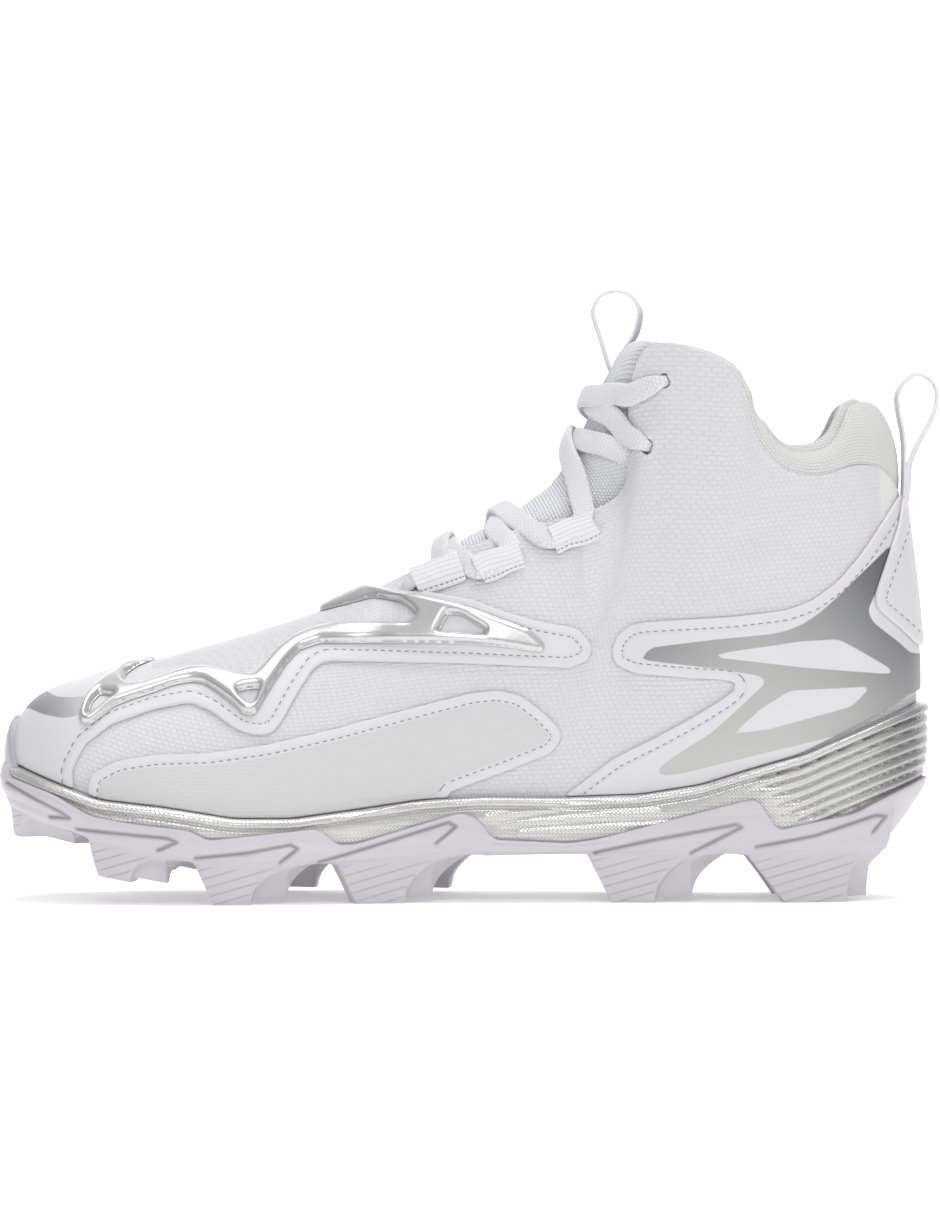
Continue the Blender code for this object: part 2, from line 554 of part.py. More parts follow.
def guard_height(q):
    """How far the outsole's lip rises above the lip line to guard the toe, at places q."""
    base, _ = base_points(q)
    tip = base_points(np.array([TIP]))[0][0]
    apart = np.linalg.norm(base - tip, axis=1)
    share = np.clip(1 - apart / GUARD_SPAN, 0.0, 1.0)
    return GUARD_RISE * share**2 * (3 - 2 * share)


def make_outsole():
    q = loop_places()
    base, normal = base_points(q)
    x = base[:, 0]
    lip = line_height(LIP_LINE, x) + guard_height(q)
    bed = bed_height(x)
    plate = line_height(PLATE_LINE, x)
    side = lip - plate
    upper_edge = np.minimum(bed + 0.8 * (lip - bed), line_height(RIM_LINE, x))
    still = np.zeros_like(x)
    deep = HEEL_TUCK * heel_share(x)
    rings = [
        np.column_stack([base - normal * (9.0 + deep)[:, None], bed]),
        sole_side(q, bed, still + 4 * GAP),
        sole_side(q, (bed + upper_edge) / 2, still + 4.5 * GAP),
        sole_side(q, upper_edge, still + 3 * GAP),
        sole_side(q, lip, still + 1.5 * GAP),
        sole_side(q, lip, still + 1.5 * GAP + LIP * 0.8),
        sole_side(q, lip - side * 0.4, still + GAP + LIP + 0.3),
        sole_side(q, plate + side * 0.15, still + GAP + LIP - 1.0),
        sole_side(q, plate, still + GAP + LIP - 3.0),
        np.column_stack([base - normal * (12.0 + deep)[:, None], plate]),
    ]
    made = ring_solid("outsole", rings, "white_rubber")
    for row in STUD_ROWS:
        for side, label in ((-1, "inner"), (1, "outer")):
            boolean(made, make_stud(dict(zip(STUD_COLUMNS, row)), side, label), "UNION")


def outline_half_width(x, side):
    """Distance of the upper's bottom outline from the X axis at x, on one side."""
    inner_x, column = last_column("base_x")[::-1], last_column("inner" if side < 0 else "outer")[::-1]
    return np.interp(x, inner_x, column)


def make_stud(stud, side, label):
    """A flared blade: its outer face runs along the sole's edge and its back face turns in behind it."""
    back = stud["back"] if side > 0 else 0.0
    # columns: x at the tip and at the root, distance in from the edge at the tip and root, bend of its line
    corners = (
        (stud["front_tip"], stud["front_root"], 2.2, STEP_INSET, 1.0),
        (stud["ridge_tip"], stud["ridge_root"], 2.2, STEP_INSET, 1.9),
        (stud["back_tip"], stud["back_root"], 11.0, 9.0, 2.2),
        (stud["back_tip"] - 4.0, stud["back_root"] - 1.0, 16.5, 20.0, 2.2),
        (stud["front_tip"] + 5.0, stud["front_root"] + 4.0, 12.0, 18.0, 1.6),
    )
    levels = (0.0, 0.3, 0.6, 0.85, 1.0)
    points = []
    for level in levels:
        for tip_x, root_x, tip_in, root_in, power in corners:
            x = tip_x + (root_x - tip_x) * level**power + back
            span = (tip_x - stud["front_tip"]) / (stud["back_tip"] - stud["front_tip"])
            tip_z = stud["front_z"] + (stud["back_z"] - stud["front_z"]) * min(max(span, 0.0), 1.0)
            root_z = float(line_height(PLATE_LINE, x)) + 2.0
            inset = tip_in + (root_in - tip_in) * level
            y = outline_half_width(x, side) + BULGE - inset
            points.append((x, side * y, tip_z + (root_z - tip_z) * level))
    count = len(corners)
    faces = grid_faces_ring(len(levels), count)
    faces += [tuple(range(count)), tuple(range((len(levels) - 1) * count, len(levels) * count))]
    return add_solid(f"stud_{stud['name']}_{label}", points, faces, "white_rubber", hidden=True)


def grid_faces_ring(rings, count):
    """Quads between rings of count points, each ring closed."""
    faces = []
    for r in range(rings - 1):
        low, high = r * count, (r + 1) * count
        faces += [(low + i, low + (i + 1) % count, high + (i + 1) % count, high + i) for i in range(count)]
    return faces


def make_insole():
    q = loop_places(11, 7)
    base, normal = base_points(q)
    low = mirrored("base_z", q)
    edge = WALL + 2 * GAP

    def ring(depth, rise):
        return np.column_stack([base - normal * depth, low + rise])

    rings = [ring(8.0, GAP), ring(edge + 0.6, GAP), ring(edge, 1.2), ring(edge, INSOLE - 1.0),
             ring(edge + 1.2, INSOLE), ring(9.0, INSOLE - 0.6)]
    ring_solid("insole", rings, "knit")


def tongue_sheet(rows, across, sink):
    """The tongue's face, sunk by sink: legs that follow the upper's inside and an arch between them."""
    line = np.array(TONGUE_LINE)[::-1]
    depth = WALL + 5 * GAP + sink
    shares = np.array([1 - TONGUE_LEG, 1 - TONGUE_LEG / 2, 1.0])
    sheet = []
    for row in rows:
        inner, outer = (surface(q, shares) - surface_normal(q, shares) * depth
                        for q in (np.full(3, row), np.full(3, 2 * TIP - row)))
        edge = (inner[2] + outer[2]) / 2
        x, z = (np.interp(row, line[:, 0], line[:, k]) for k in (1, 2))
        centre = np.array([x, edge[1], z])
        forward = centre - edge
        top = centre - forward / np.linalg.norm(forward) * sink
        arch = []
        for share in across:
            start = inner[2] if share < 0 else outer[2]
            lift = math.cos(share * math.pi / 2)
            spread = abs(math.sin(share * math.pi / 2))
            arch.append(top + (start - top) * (1 - lift, spread, 1 - lift))
        sheet.append(np.concatenate([inner[:2], arch, outer[:2][::-1]]))
    return np.array(sheet)


def make_tongue():
    rows = np.linspace(17.4, TONGUE_LINE[-1][0], 10)
    across = np.linspace(-1, 1, 7)
    faces_of = [tongue_sheet(rows, across, sink) for sink in (0.0, TONGUE)]
    foot = [[sheet[0] + (x, 0.0, z) for x, z in TONGUE_FOOT] for sheet in faces_of]
    front, back = (np.concatenate([low, sheet]) for low, sheet in zip(foot, faces_of))
    lanes, width = front.shape[:2]
    loops = np.concatenate([front, back[:, ::-1]], axis=1)
    count = 2 * width
    faces = grid_faces_ring(lanes, count)
    for end in (0, lanes - 1):
        start = end * count
        faces += [(start + i, start + i + 1, start + count - 2 - i, start + count - 1 - i)
                  for i in range(width - 1)]
    add_solid("tongue", loops.reshape(-1, 3), faces, "knit")


def make_collar():
    """A padded roll on the upper's top edge, from one ankle flap round the heel to the other."""
    table = np.array(COLLAR_ROWS)
    rows = np.concatenate([np.linspace(table[-1, 0], 0, 16), -np.linspace(0, table[-1, 0], 16)[1:]])
    q = np.mod(rows, 2 * TIP)
    height, thick, lean = (np.interp(np.abs(rows), table[:, 0], table[:, k]) for k in (1, 2, 3))
    edge = surface(q, np.ones(len(q)))
    out = surface_normal(q, np.ones(len(q)))
    level = out * (1.0, 1.0, 0.0)
    level /= np.linalg.norm(level, axis=1, keepdims=True)
    along = surface(q - 0.15, np.ones(len(q))) - surface(q + 0.15, np.ones(len(q)))
    rise = np.cross(along, out)
    rise *= np.sign(np.sum(rise * (edge - surface(q, np.full(len(q), 0.9))), axis=1, keepdims=True))
    rise /= np.linalg.norm(rise, axis=1, keepdims=True)
    upright = np.clip((5.0 - np.abs(rows)) / 1.5, 0.0, 1.0)[:, None]
    rise = rise * (1 - upright) + np.array([0.0, 0.0, 1.0]) * upright
    rise /= np.linalg.norm(rise, axis=1, keepdims=True)
    # columns: share of the thickness from the outside in, share of the height
    profile = ((0.0, 0.0), (0.0, 0.45), (0.1, 0.8), (0.3, 0.97), (0.6, 1.0), (0.88, 0.8), (1.0, 0.45),
               (0.9, 0.02))
    rings = []
    for across, up in profile:
        inward = across * thick + lean * up**2
        rings.append(edge + rise * (2.4 * GAP + up * height)[:, None] - level * inward[:, None])
    loops = np.stack(rings, axis=1)
    lanes, count = loops.shape[:2]
    faces = grid_faces_ring(lanes, count)
    faces += [tuple(range(count)), tuple(range((lanes - 1) * count, lanes * count))]
    add_solid("collar", loops.reshape(-1, 3), faces, "knit")


def ribbon(name, line, width, thick, finish, centre_y=0.0):
    """A webbing strip that follows a side-view line, width across the shoe."""
    path = curve(line, 18)
    along = np.gradient(path, axis=0)
    normal = np.stack([-along[:, 1], along[:, 0]], 1) / np.linalg.norm(along, axis=1, keepdims=True)
    outer, inner = path + normal * thick / 2, path - normal * thick / 2
    near, far = centre_y - width / 2, centre_y + width / 2
    loops = [[(a[0], near, a[1]), (a[0], far, a[1]), (b[0], far, b[1]), (b[0], near, b[1])]
             for a, b in zip(outer, inner)]
    points = np.array(loops).reshape(-1, 3)
    faces = grid_faces_ring(len(path), 4) + [(0, 1, 2, 3), tuple(range(len(points) - 4, len(points)))]
    add_solid(name, points, faces, finish)


def make_webbing_loops():
    """Flat loops of webbing on each side that carry the lower part of the lace."""
    length, width = LOOP_SIZE
    for side, label in ((-1, "inner"), (1, "outer")):
        for i, (x, z, _) in enumerate(WEBBING_LOOPS):
            slope = math.radians(25.0)
            patch = []
            for along in np.linspace(-0.5, 0.5, 4):
                for across in np.linspace(-0.5, 0.5, 3):
                    px = x + along * length * math.cos(slope) + across * width * math.sin(slope) * 0.6
                    pz = z + along * length * math.sin(slope) - across * width * math.cos(slope)
                    patch.append(place_on_side(px, pz, side))
            q, v = np.array(patch).T
            base, out = surface(q, v), surface_normal(q, v)
            points = np.concatenate([base + out * 2.5 * GAP, base + out * (2.5 * GAP + LOOP_THICK)])
            faces = grid_faces(4, 3, False)
            faces += [tuple(k + 12 for k in f) for f in faces]
            border = [0, 1, 2, 5, 8, 11, 10, 9, 6, 3]
            faces += [(a, b, b + 12, a + 12) for a, b in zip(border, border[1:] + border[:1])]
            add_solid(f"lace_loop_{label}_{i + 1}", points, faces, "webbing")


def tube(name, path, width, thick, up, finish, hidden=False, sides=4):
    """A flat cord along a path; up gives the direction of its thin side at each point."""
    along = np.gradient(path, axis=0)
    along /= np.linalg.norm(along, axis=1, keepdims=True)
    across = np.cross(along, up)
    across /= np.linalg.norm(across, axis=1, keepdims=True)
    lift = np.cross(across, along)
    turn = np.linspace(0, 2 * math.pi, sides, endpoint=False) + math.pi / sides
    reach = 1.25 / 2
    rings = [p + np.outer(np.cos(turn), a) * width * reach + np.outer(np.sin(turn), n) * thick * reach
             for p, a, n in zip(path, across, lift)]
    points = np.concatenate(rings)
    faces = grid_faces_ring(len(path), sides)
    faces += [tuple(range(sides)), tuple(range(len(points) - sides, len(points)))]
    return add_solid(name, points, faces, finish, hidden)


def tongue_place(row, share):
    """Point of the tongue's face for a row and a share across its arch, with the direction out of it."""
    near = np.array([max(share - 0.02, -1.0), share, min(share + 0.02, 1.0)])
    here = tongue_sheet(np.array([row]), near, 0.0)[0][2:5]
    next_row = tongue_sheet(np.array([row - 0.1]), near, 0.0)[0][2:5]
    out = np.cross(next_row[1] - here[1], here[2] - here[0])
    return here[1], out / np.linalg.norm(out)


def lace_path(low, high, low_side, over):
    """A run of lace from one side's place to the other side's next one, over the tongue; over lifts it."""
    places = EYELETS + WEBBING_LOOPS
    lift = 4.5 * GAP + LOOP_THICK + LACE_THICK / 2 + 1.2 + over
    ends = []
    for index, side in ((low, low_side), (high, -low_side)):
        x, z, row = places[index]
        q, v = (np.array([k]) for k in place_on_side(x, z, side))
        edge_q, edge_v = np.array([row if side < 0 else 2 * TIP - row]), np.array([0.985])
        ends.append([(surface(q, v)[0] + surface_normal(q, v)[0] * lift, surface_normal(q, v)[0]),
                     (surface(edge_q, edge_v)[0] + surface_normal(edge_q, edge_v)[0] * lift,
                      surface_normal(edge_q, edge_v)[0])])
    middle = []
    for share in (-0.8, -0.55, -0.28, 0.0, 0.28, 0.55, 0.8):
        row = places[low][2] + (places[high][2] - places[low][2]) * (share / 2 + 0.5)
        point, out = tongue_place(row, -low_side * share)
        middle.append((point + out * (7 * GAP + LACE_THICK * 0.9 + over), out))
    stops = ends[0] + middle + ends[1][::-1]
    path = eased([point for point, _ in stops], 11, passes=1)
    nearest = [min(stops, key=lambda stop: np.linalg.norm(stop[0] - point))[1] for point in path]
    return path, eased(nearest, 11)


def make_lace():
    """The lace as one solid: two runs cross at each step of the lacing, and each meets the next one."""
    made = None
    for step in range(len(EYELETS + WEBBING_LOOPS) - 1):
        for side, over in ((-1, 0.0), (1, 0.6)):
            path, up = lace_path(step + 1, step, side, over)
            if made is None:
                made = tube("lace", path, LACE_WIDTH, LACE_THICK, up, "lace")
                continue
            run = tube(f"lace_run_{step}_{side}", path, LACE_WIDTH, LACE_THICK, up, "lace", hidden=True)
            boolean(made, run, "UNION")


def make_overlays():
    under, over = GAP, GAP + OVERLAY
    overlay("vamp_overlay", VAMP_OUTLINE, under, over, "white_synthetic")
    overlay("forefoot_cage", CAGE_OUTLINE, over + GAP, over + GAP + CAGE, "silver_cage", windows=CAGE_WINDOWS)
    overlay("forefoot_panel_inner", PANEL_OUTLINE, under, over, "white_synthetic", far=0.0)
    overlay("forefoot_panel_outer", PANEL_OUTLINE, under, over, "white_synthetic", near=0.0)
    overlay("heel_counter", COUNTER_OUTLINE, under, over, "white_synthetic")
    overlay("heel_tab", TAB_OUTLINE, over + GAP, over + GAP + OVERLAY, "white_synthetic")


def set_down():
    """Moves the whole shoe so that its box is centred on the origin, standing on z = 0."""
    root = bpy.data.objects.new("shoe", None)
    bpy.context.scene.collection.objects.link(root)
    view = bpy.context.evaluated_depsgraph_get()
    corners = []
    for piece in [o for o in bpy.context.scene.objects if o.type == "MESH"]:
        piece.parent = root
        if not piece.hide_render:
            corners += [tuple(c) for c in piece.evaluated_get(view).bound_box]
    corners = np.array(corners)
    middle = (corners.min(0) + corners.max(0)) / 2
    root.location = (-middle[0], -middle[1], -corners[:, 2].min())


def main():
    clear_scene()
    make_outsole()
    make_midsole()
    make_insole()
    make_upper()
    make_tongue()
    make_collar()
    make_overlays()
    make_webbing_loops()
    make_lace()
    ribbon("tongue_pull", TONGUE_PULL, PULL_WIDTH, WEBBING, "webbing")
    ribbon("heel_pull", HEEL_PULL, PULL_WIDTH, WEBBING, "webbing")
    set_down()


main()
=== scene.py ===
# Mid-cut baseball cleat: the looks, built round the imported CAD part.
# The toe points along -X and the inner side faces -Y. Shapes are worked out in mm and put down in metres.
import math

import bpy
import numpy as np
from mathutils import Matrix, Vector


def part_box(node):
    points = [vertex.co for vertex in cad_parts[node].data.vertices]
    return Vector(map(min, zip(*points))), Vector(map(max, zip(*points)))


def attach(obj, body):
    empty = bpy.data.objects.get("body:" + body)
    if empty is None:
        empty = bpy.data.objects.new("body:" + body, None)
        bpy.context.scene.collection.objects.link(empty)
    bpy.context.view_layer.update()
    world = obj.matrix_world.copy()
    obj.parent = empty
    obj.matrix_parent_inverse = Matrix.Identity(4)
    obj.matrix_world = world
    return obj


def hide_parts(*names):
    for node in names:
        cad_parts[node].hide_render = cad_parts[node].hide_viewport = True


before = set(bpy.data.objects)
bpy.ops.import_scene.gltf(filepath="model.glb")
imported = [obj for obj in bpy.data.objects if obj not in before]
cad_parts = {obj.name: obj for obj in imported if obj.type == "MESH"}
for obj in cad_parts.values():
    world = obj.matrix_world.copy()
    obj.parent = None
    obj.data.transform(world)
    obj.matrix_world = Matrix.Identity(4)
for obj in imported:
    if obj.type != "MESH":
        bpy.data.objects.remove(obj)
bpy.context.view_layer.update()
mm = 0.001
print("frame loaded")

# the last, a row for each section from the heel's back to the toe tip
last = {
    "columns": ("baseX", "inner", "outer", "baseZ", "topX", "ridge", "gap", "topZ",
                "flare", "rise", "sweep", "reach", "fall"),
    "rows": (
        (137.5, 0.0, 0.0, 30.0, 139.0, 0.0, 0.0, 130.0, 12.0, 30.0, 0.0, 5.0, 40.0),
        (135.0, 10.5, 10.5, 30.0, 136.5, 0.0, 9.5, 133.0, 11.5, 31.0, 0.0, 5.0, 40.0),
        (128.0, 19.5, 19.5, 29.6, 131.0, 0.0, 16.5, 137.5, 10.0, 33.0, 0.0, 6.0, 42.0),
        (116.0, 26.0, 26.2, 28.8, 123.0, 0.0, 23.0, 138.0, 8.5, 34.0, 0.0, 8.0, 44.0),
        (101.0, 29.6, 30.2, 28.0, 112.0, 0.0, 28.5, 134.8, 7.5, 35.0, 0.0, 8.0, 44.0),
        (88.0, 30.3, 31.5, 27.4, 102.0, 0.0, 31.5, 136.0, 7.0, 36.0, 0.0, 6.0, 44.0),
        (77.0, 30.0, 32.4, 27.0, 94.5, 0.0, 33.0, 142.0, 6.5, 36.0, 0.0, 4.0, 46.0),
        (68.0, 29.7, 33.1, 26.6, 90.0, 0.0, 33.2, 150.0, 6.0, 36.0, 0.0, 4.0, 48.0),
        (61.0, 29.4, 33.6, 26.4, 87.5, 0.0, 33.0, 161.0, 6.0, 36.0, 0.0, 4.0, 52.0),
        (55.0, 29.1, 34.0, 26.2, 82.5, 0.0, 31.8, 169.5, 6.0, 36.0, 1.0, 4.0, 56.0),
        (49.0, 28.8, 34.4, 26.0, 71.0, 0.0, 28.0, 175.0, 6.0, 36.0, 5.0, 5.0, 57.0),
        (43.0, 28.5, 34.8, 25.8, 58.0, 0.0, 21.5, 176.0, 6.0, 36.0, 11.0, 7.0, 56.0),
        (37.0, 28.4, 35.3, 25.6, 52.5, 0.0, 18.5, 164.0, 6.0, 36.0, 11.0, 9.0, 48.0),
        (30.0, 28.3, 35.9, 25.4, 51.5, 0.0, 17.5, 148.0, 6.0, 36.0, 8.0, 11.0, 40.0),
        (21.0, 28.4, 36.6, 25.2, 50.0, 0.0, 17.5, 131.0, 6.0, 34.0, 3.0, 14.0, 32.0),
        (9.0, 29.2, 38.0, 24.9, 39.0, 0.0, 17.2, 123.5, 6.0, 34.0, 1.0, 14.0, 28.0),
        (-6.0, 30.6, 40.0, 24.4, 20.0, 0.0, 17.0, 119.0, 6.0, 33.0, 0.0, 14.0, 24.0),
        (-24.0, 34.0, 42.3, 23.3, 1.0, 0.0, 14.5, 112.5, 5.5, 32.0, 0.0, 15.0, 18.0),
        (-41.0, 38.5, 44.5, 22.0, -15.0, 0.0, 9.0, 105.5, 5.0, 30.0, 0.0, 16.0, 10.0),
        (-56.0, 42.3, 45.8, 20.9, -24.0, 0.0, 0.0, 101.5, 5.0, 29.0, 0.0, 22.0, 3.0),
        (-71.0, 45.0, 46.3, 20.5, -44.0, -1.0, 0.0, 91.8, 4.5, 28.0, 0.0, 26.0, 2.0),
        (-86.0, 45.8, 45.0, 21.5, -66.0, -3.0, 0.0, 84.3, 4.5, 26.0, 0.0, 27.0, 2.0),
        (-101.0, 45.0, 41.0, 25.0, -84.0, -4.5, 0.0, 79.0, 4.0, 25.0, 0.0, 27.0, 2.5),
        (-115.0, 42.0, 34.0, 30.0, -97.0, -5.5, 0.0, 75.2, 4.0, 24.0, 0.0, 26.0, 3.5),
        (-127.0, 36.5, 24.5, 34.3, -104.0, -6.0, 0.0, 73.2, 3.5, 25.0, 0.0, 26.0, 4.5),
        (-136.0, 28.0, 13.0, 37.0, -104.0, -6.0, 0.0, 73.2, 3.0, 26.0, 0.0, 28.0, 5.0),
        (-141.0, 19.0, 2.5, 38.2, -104.0, -6.0, 0.0, 73.2, 3.0, 27.0, 0.0, 29.0, 5.5),
        (-143.0, 9.5, -9.5, 38.5, -104.0, -6.0, 0.0, 73.2, 3.0, 27.0, 0.0, 29.0, 5.5),
    ),
    "throat": 19,      # row where the throat closes and the vamp's ridge starts
    "wall": 2.2,
    "gap": 0.3,
}
tip = len(last["rows"]) - 1
wall, gap = last["wall"], last["gap"]


# smooth curve through rows of values at whole numbers, read at the places in at, ends held
def spline(values, at):
    values = np.asarray(values, float)
    end = len(values) - 1
    at = np.clip(np.asarray(at, float), 0, end)
    i = np.minimum(at.astype(int), end - 1)
    t = at - i
    t = t.reshape(t.shape + (1,) * (values.ndim - 1))
    before, start = values[np.maximum(i - 1, 0)], values[i]
    stop, after = values[i + 1], values[np.minimum(i + 2, end)]
    lead, trail = (stop - before) / 2, (after - start) / 2
    return (start * (2 * t**3 - 3 * t**2 + 1) + lead * (t**3 - 2 * t**2 + t)
            + stop * (3 * t**2 - 2 * t**3) + trail * (t**3 - t**2))


# 0 below low, 1 above high, an S curve between
def ramp(value, low, high):
    share = np.clip((np.asarray(value, float) - low) / (high - low), 0, 1)
    return share * share * (3 - 2 * share)


# unit vectors
def unit(vectors):
    return vectors / np.maximum(np.linalg.norm(vectors, axis=-1, keepdims=True), 1e-9)


# length along a line of points, or along each line on one axis of a grid of points, from 0 at its start
def lengthsAlong(points, axis=0):
    steps = np.linalg.norm(np.diff(points, axis=axis), axis=-1)
    return np.concatenate([np.zeros_like(np.take(steps, [0], axis)), np.cumsum(steps, axis)], axis)


# height of a side-view line at x, its corners rounded by averaging over a short window
def lineHeight(line, x, soften=2.4):
    xs, zs = np.array(line, float).T
    x, window = np.asarray(x, float), np.linspace(-soften, soften, 9)
    return np.mean([np.interp(x + w, xs, zs) for w in window], axis=0)


def lastColumn(name):
    return np.array([row[last["columns"].index(name)] for row in last["rows"]])


# row of the table for a place q on the loop: 0 at the heel, tip at the toe, then back along the outer side
def rowOf(q):
    q = np.mod(np.asarray(q, float), 2 * tip)
    return np.where(q <= tip, q, 2 * tip - q)


# -1 on the inner side and +1 on the outer side
def sideOf(q):
    return np.where(np.mod(np.asarray(q, float), 2 * tip) <= tip, -1.0, 1.0)


# a column that is the same on both sides, read at q
def mirrored(name, q):
    rows = lastColumn(name)
    return spline(np.concatenate([rows[2:0:-1], rows, rows[-2:-4:-1]]), rowOf(q) + 2)


innerEdge = np.stack([lastColumn("baseX"), -lastColumn("inner")], 1)
outerEdge = np.stack([lastColumn("baseX"), lastColumn("outer")], 1)[1:-1][::-1]
baseLoop = np.concatenate([innerEdge, outerEdge])
baseLoop = np.concatenate([baseLoop[-2:], baseLoop, baseLoop[:3]])


# bottom outline of the upper (x, y) and its outward normal at q
def basePoints(q):
    q = np.mod(np.asarray(q, float), 2 * tip)
    ahead = spline(baseLoop, q + 2.05) - spline(baseLoop, q + 1.95)
    return spline(baseLoop, q + 2), unit(np.stack([-ahead[..., 1], ahead[..., 0]], -1))


# outer surface of the upper: a cubic section from the sole (v = 0) to the top edge or ridge (v = 1) at each
# q, with its crown levelled over the ridge so that both sides meet without a crease
def surface(q, v):
    q, v = np.broadcast_arrays(np.asarray(q, float), np.asarray(v, float))
    row = rowOf(q)
    base, normal = basePoints(q)
    half = np.where(row >= last["throat"], 0.0, np.maximum(mirrored("gap", q), 0.0))
    p0 = np.stack([base[..., 0], base[..., 1], mirrored("baseZ", q)], -1)
    p3 = np.stack([mirrored("topX", q), mirrored("ridge", q) + sideOf(q) * half, mirrored("topZ", q)], -1)
    out = np.concatenate([normal, np.zeros(normal.shape[:-1] + (1,))], -1)
    up = np.array([0.0, 0.0, 1.0])
    fall = mirrored("fall", q)
    p1 = p0 + out * mirrored("flare", q)[..., None] + up * mirrored("rise", q)[..., None]
    p2 = p3 + out * mirrored("reach", q)[..., None] - up * fall[..., None]
    p2[..., 0] += mirrored("sweep", q)
    t = v[..., None]
    point = p0 * (1 - t)**3 + 3 * p1 * t * (1 - t)**2 + 3 * p2 * t**2 * (1 - t) + p3 * t**3
    crown = ramp(row, last["throat"] - 0.3, last["throat"] + 0.8)
    point[..., 2] += 3 * fall * (1 - v) * ramp(v, 0.78, 1.0) * crown
    return point


# outward normal of that surface, read a little below its top, as the toe's sections meet in one point
def surfaceNormal(q, v):
    q, v = np.broadcast_arrays(np.asarray(q, float), np.minimum(v, 0.97))
    along = surface(q + 0.04, v) - surface(q - 0.04, v)
    upward = surface(q, np.minimum(v + 0.01, 1)) - surface(q, np.maximum(v - 0.01, 0))
    return unit(np.cross(upward, along))


# places between two rows, evenly spaced along the surface at height share v
def evenPlaces(start, end, count, v=0.4, samples=800):
    q = np.linspace(start, end, samples)
    travel = lengthsAlong(surface(q, np.full(samples, v)))
    return np.interp(np.linspace(0, travel[-1], count), travel, q)


# places on both sides of the shoe, the second half mirroring the first about the toe tip
def bothSides(rows):
    return np.concatenate([rows, (2 * tip - rows[:-1])[::-1]])


# closed side-view outline, resampled every step mm and its corners eased by averaging neighbours
def roundedOutline(points, step=0.8, passes=5):
    points = np.array(points, float)
    closed = np.concatenate([points, points[:1]])
    travel = lengthsAlong(closed)
    at = np.arange(0, travel[-1], step)
    path = np.stack([np.interp(at, travel, column) for column in closed.T], 1)
    for _ in range(passes):
        path = (np.roll(path, 1, 0) + 2 * path + np.roll(path, -1, 0)) / 4
    return path


# distance of points (x, z) to a line of segments, the run along it of the nearest point, and their side of it
def lineDistance(line, x, z):
    start, end = line[:-1], line[1:]
    span = end - start
    length = np.maximum(np.linalg.norm(span, axis=1), 1e-6)
    run = np.concatenate([[0.0], np.cumsum(length)[:-1]])
    flat = np.stack([np.ravel(x), np.ravel(z)], 1)
    found, place, turn = np.zeros(len(flat)), np.zeros(len(flat)), np.zeros(len(flat))
    for piece in np.array_split(np.arange(len(flat)), max(1, len(flat) // 6000)):
        offset = flat[piece][:, None] - start
        share = np.clip((offset * span).sum(-1) / length**2, 0, 1)
        apart = np.linalg.norm(offset - span * share[..., None], axis=-1)
        best = apart.argmin(1)
        pick = np.arange(len(piece))
        found[piece] = apart[pick, best]
        place[piece] = run[best] + share[pick, best] * length[best]
        nearest = offset[pick, best]
        turn[piece] = span[best, 0] * nearest[:, 1] - span[best, 1] * nearest[:, 0]
    return tuple(values.reshape(np.shape(x)) for values in (found, place, turn))


# signed distance to a closed eased outline, positive inside, with the run along it: a point is inside when it
# lies on the side of its nearest segment that the outline turns to
def outlineField(outline, x, z):
    closed = np.concatenate([outline, outline[:1]])
    apart, run, turn = lineDistance(closed, x, z)
    area = np.sum(closed[:-1, 0] * closed[1:, 1] - closed[1:, 0] * closed[:-1, 1])
    return np.where(turn * area > 0, apart, -apart), run


# two triangles for each cell of a grid stored column by column, facing out of the upper
def gridTriangles(columns, rows):
    c, r = np.meshgrid(np.arange(columns - 1), np.arange(rows - 1), indexing="ij")
    a = (c * rows + r).ravel()
    return np.concatenate([np.stack([a, a + 1, a + rows + 1], 1), np.stack([a, a + rows + 1, a + rows], 1)])


# triangles of a tube of lanes rings with so many sides, its ends closed to two last points at their middles
def tubeTriangles(lanes, sides):
    r, k = np.meshgrid(np.arange(lanes - 1), np.arange(sides), indexing="ij")
    a, b = (r * sides + k).ravel(), (r * sides + (k + 1) % sides).ravel()
    ring = np.arange(sides)
    following = (ring + 1) % sides
    end = (lanes - 1) * sides
    return np.concatenate([
        np.stack([a, b, b + sides], 1), np.stack([a, b + sides, a + sides], 1),
        np.stack([following, ring, np.full(sides, lanes * sides)], 1),
        np.stack([ring + end, following + end, np.full(sides, lanes * sides + 1)], 1)])


# true for each triangle with three different corners
def isWhole(triangles):
    a, b, c = triangles.T
    return (a != b) & (b != c) & (c != a)


# the points that triangles use, the triangles renumbered to match, and which points those are
def dropUnused(points, triangles):
    used = np.unique(triangles)
    renumber = np.zeros(len(points), int)
    renumber[used] = np.arange(len(used))
    return points[used], renumber[triangles], used


# each grid point just outside an edge slides along the grid, or its diagonal, to where the field is zero
def slideToEdge(q, v, field):
    newQ, newV = q.copy(), v.copy()
    nearest = np.full(field.shape, np.inf)
    columns, rows = field.shape
    for dq in (-1, 0, 1):
        for dv in (-1, 0, 1):
            i = np.clip(np.arange(columns) + dq, 0, columns - 1)[:, None]
            j = np.clip(np.arange(rows) + dv, 0, rows - 1)[None, :]
            other = field[i, j]
            meets = (field <= 0) & (other > 0)
            share = np.where(meets, field / np.where(meets, field - other, 1.0), 1.0)
            travel = share * math.hypot(dq, dv)
            better = meets & (travel < nearest)
            nearest = np.where(better, travel, nearest)
            newQ = np.where(better, q + (q[i, j] - q) * share, newQ)
            newV = np.where(better, v + (v[i, j] - v) * share, newV)
    return newQ, newV


# points along a side-view line, and the directions across it there
def ribbonLine(line, count):
    path = spline(line, np.linspace(0, len(line) - 1, count))
    along = np.gradient(path, axis=0)
    return path, unit(np.stack([-along[:, 1], along[:, 0]], 1))


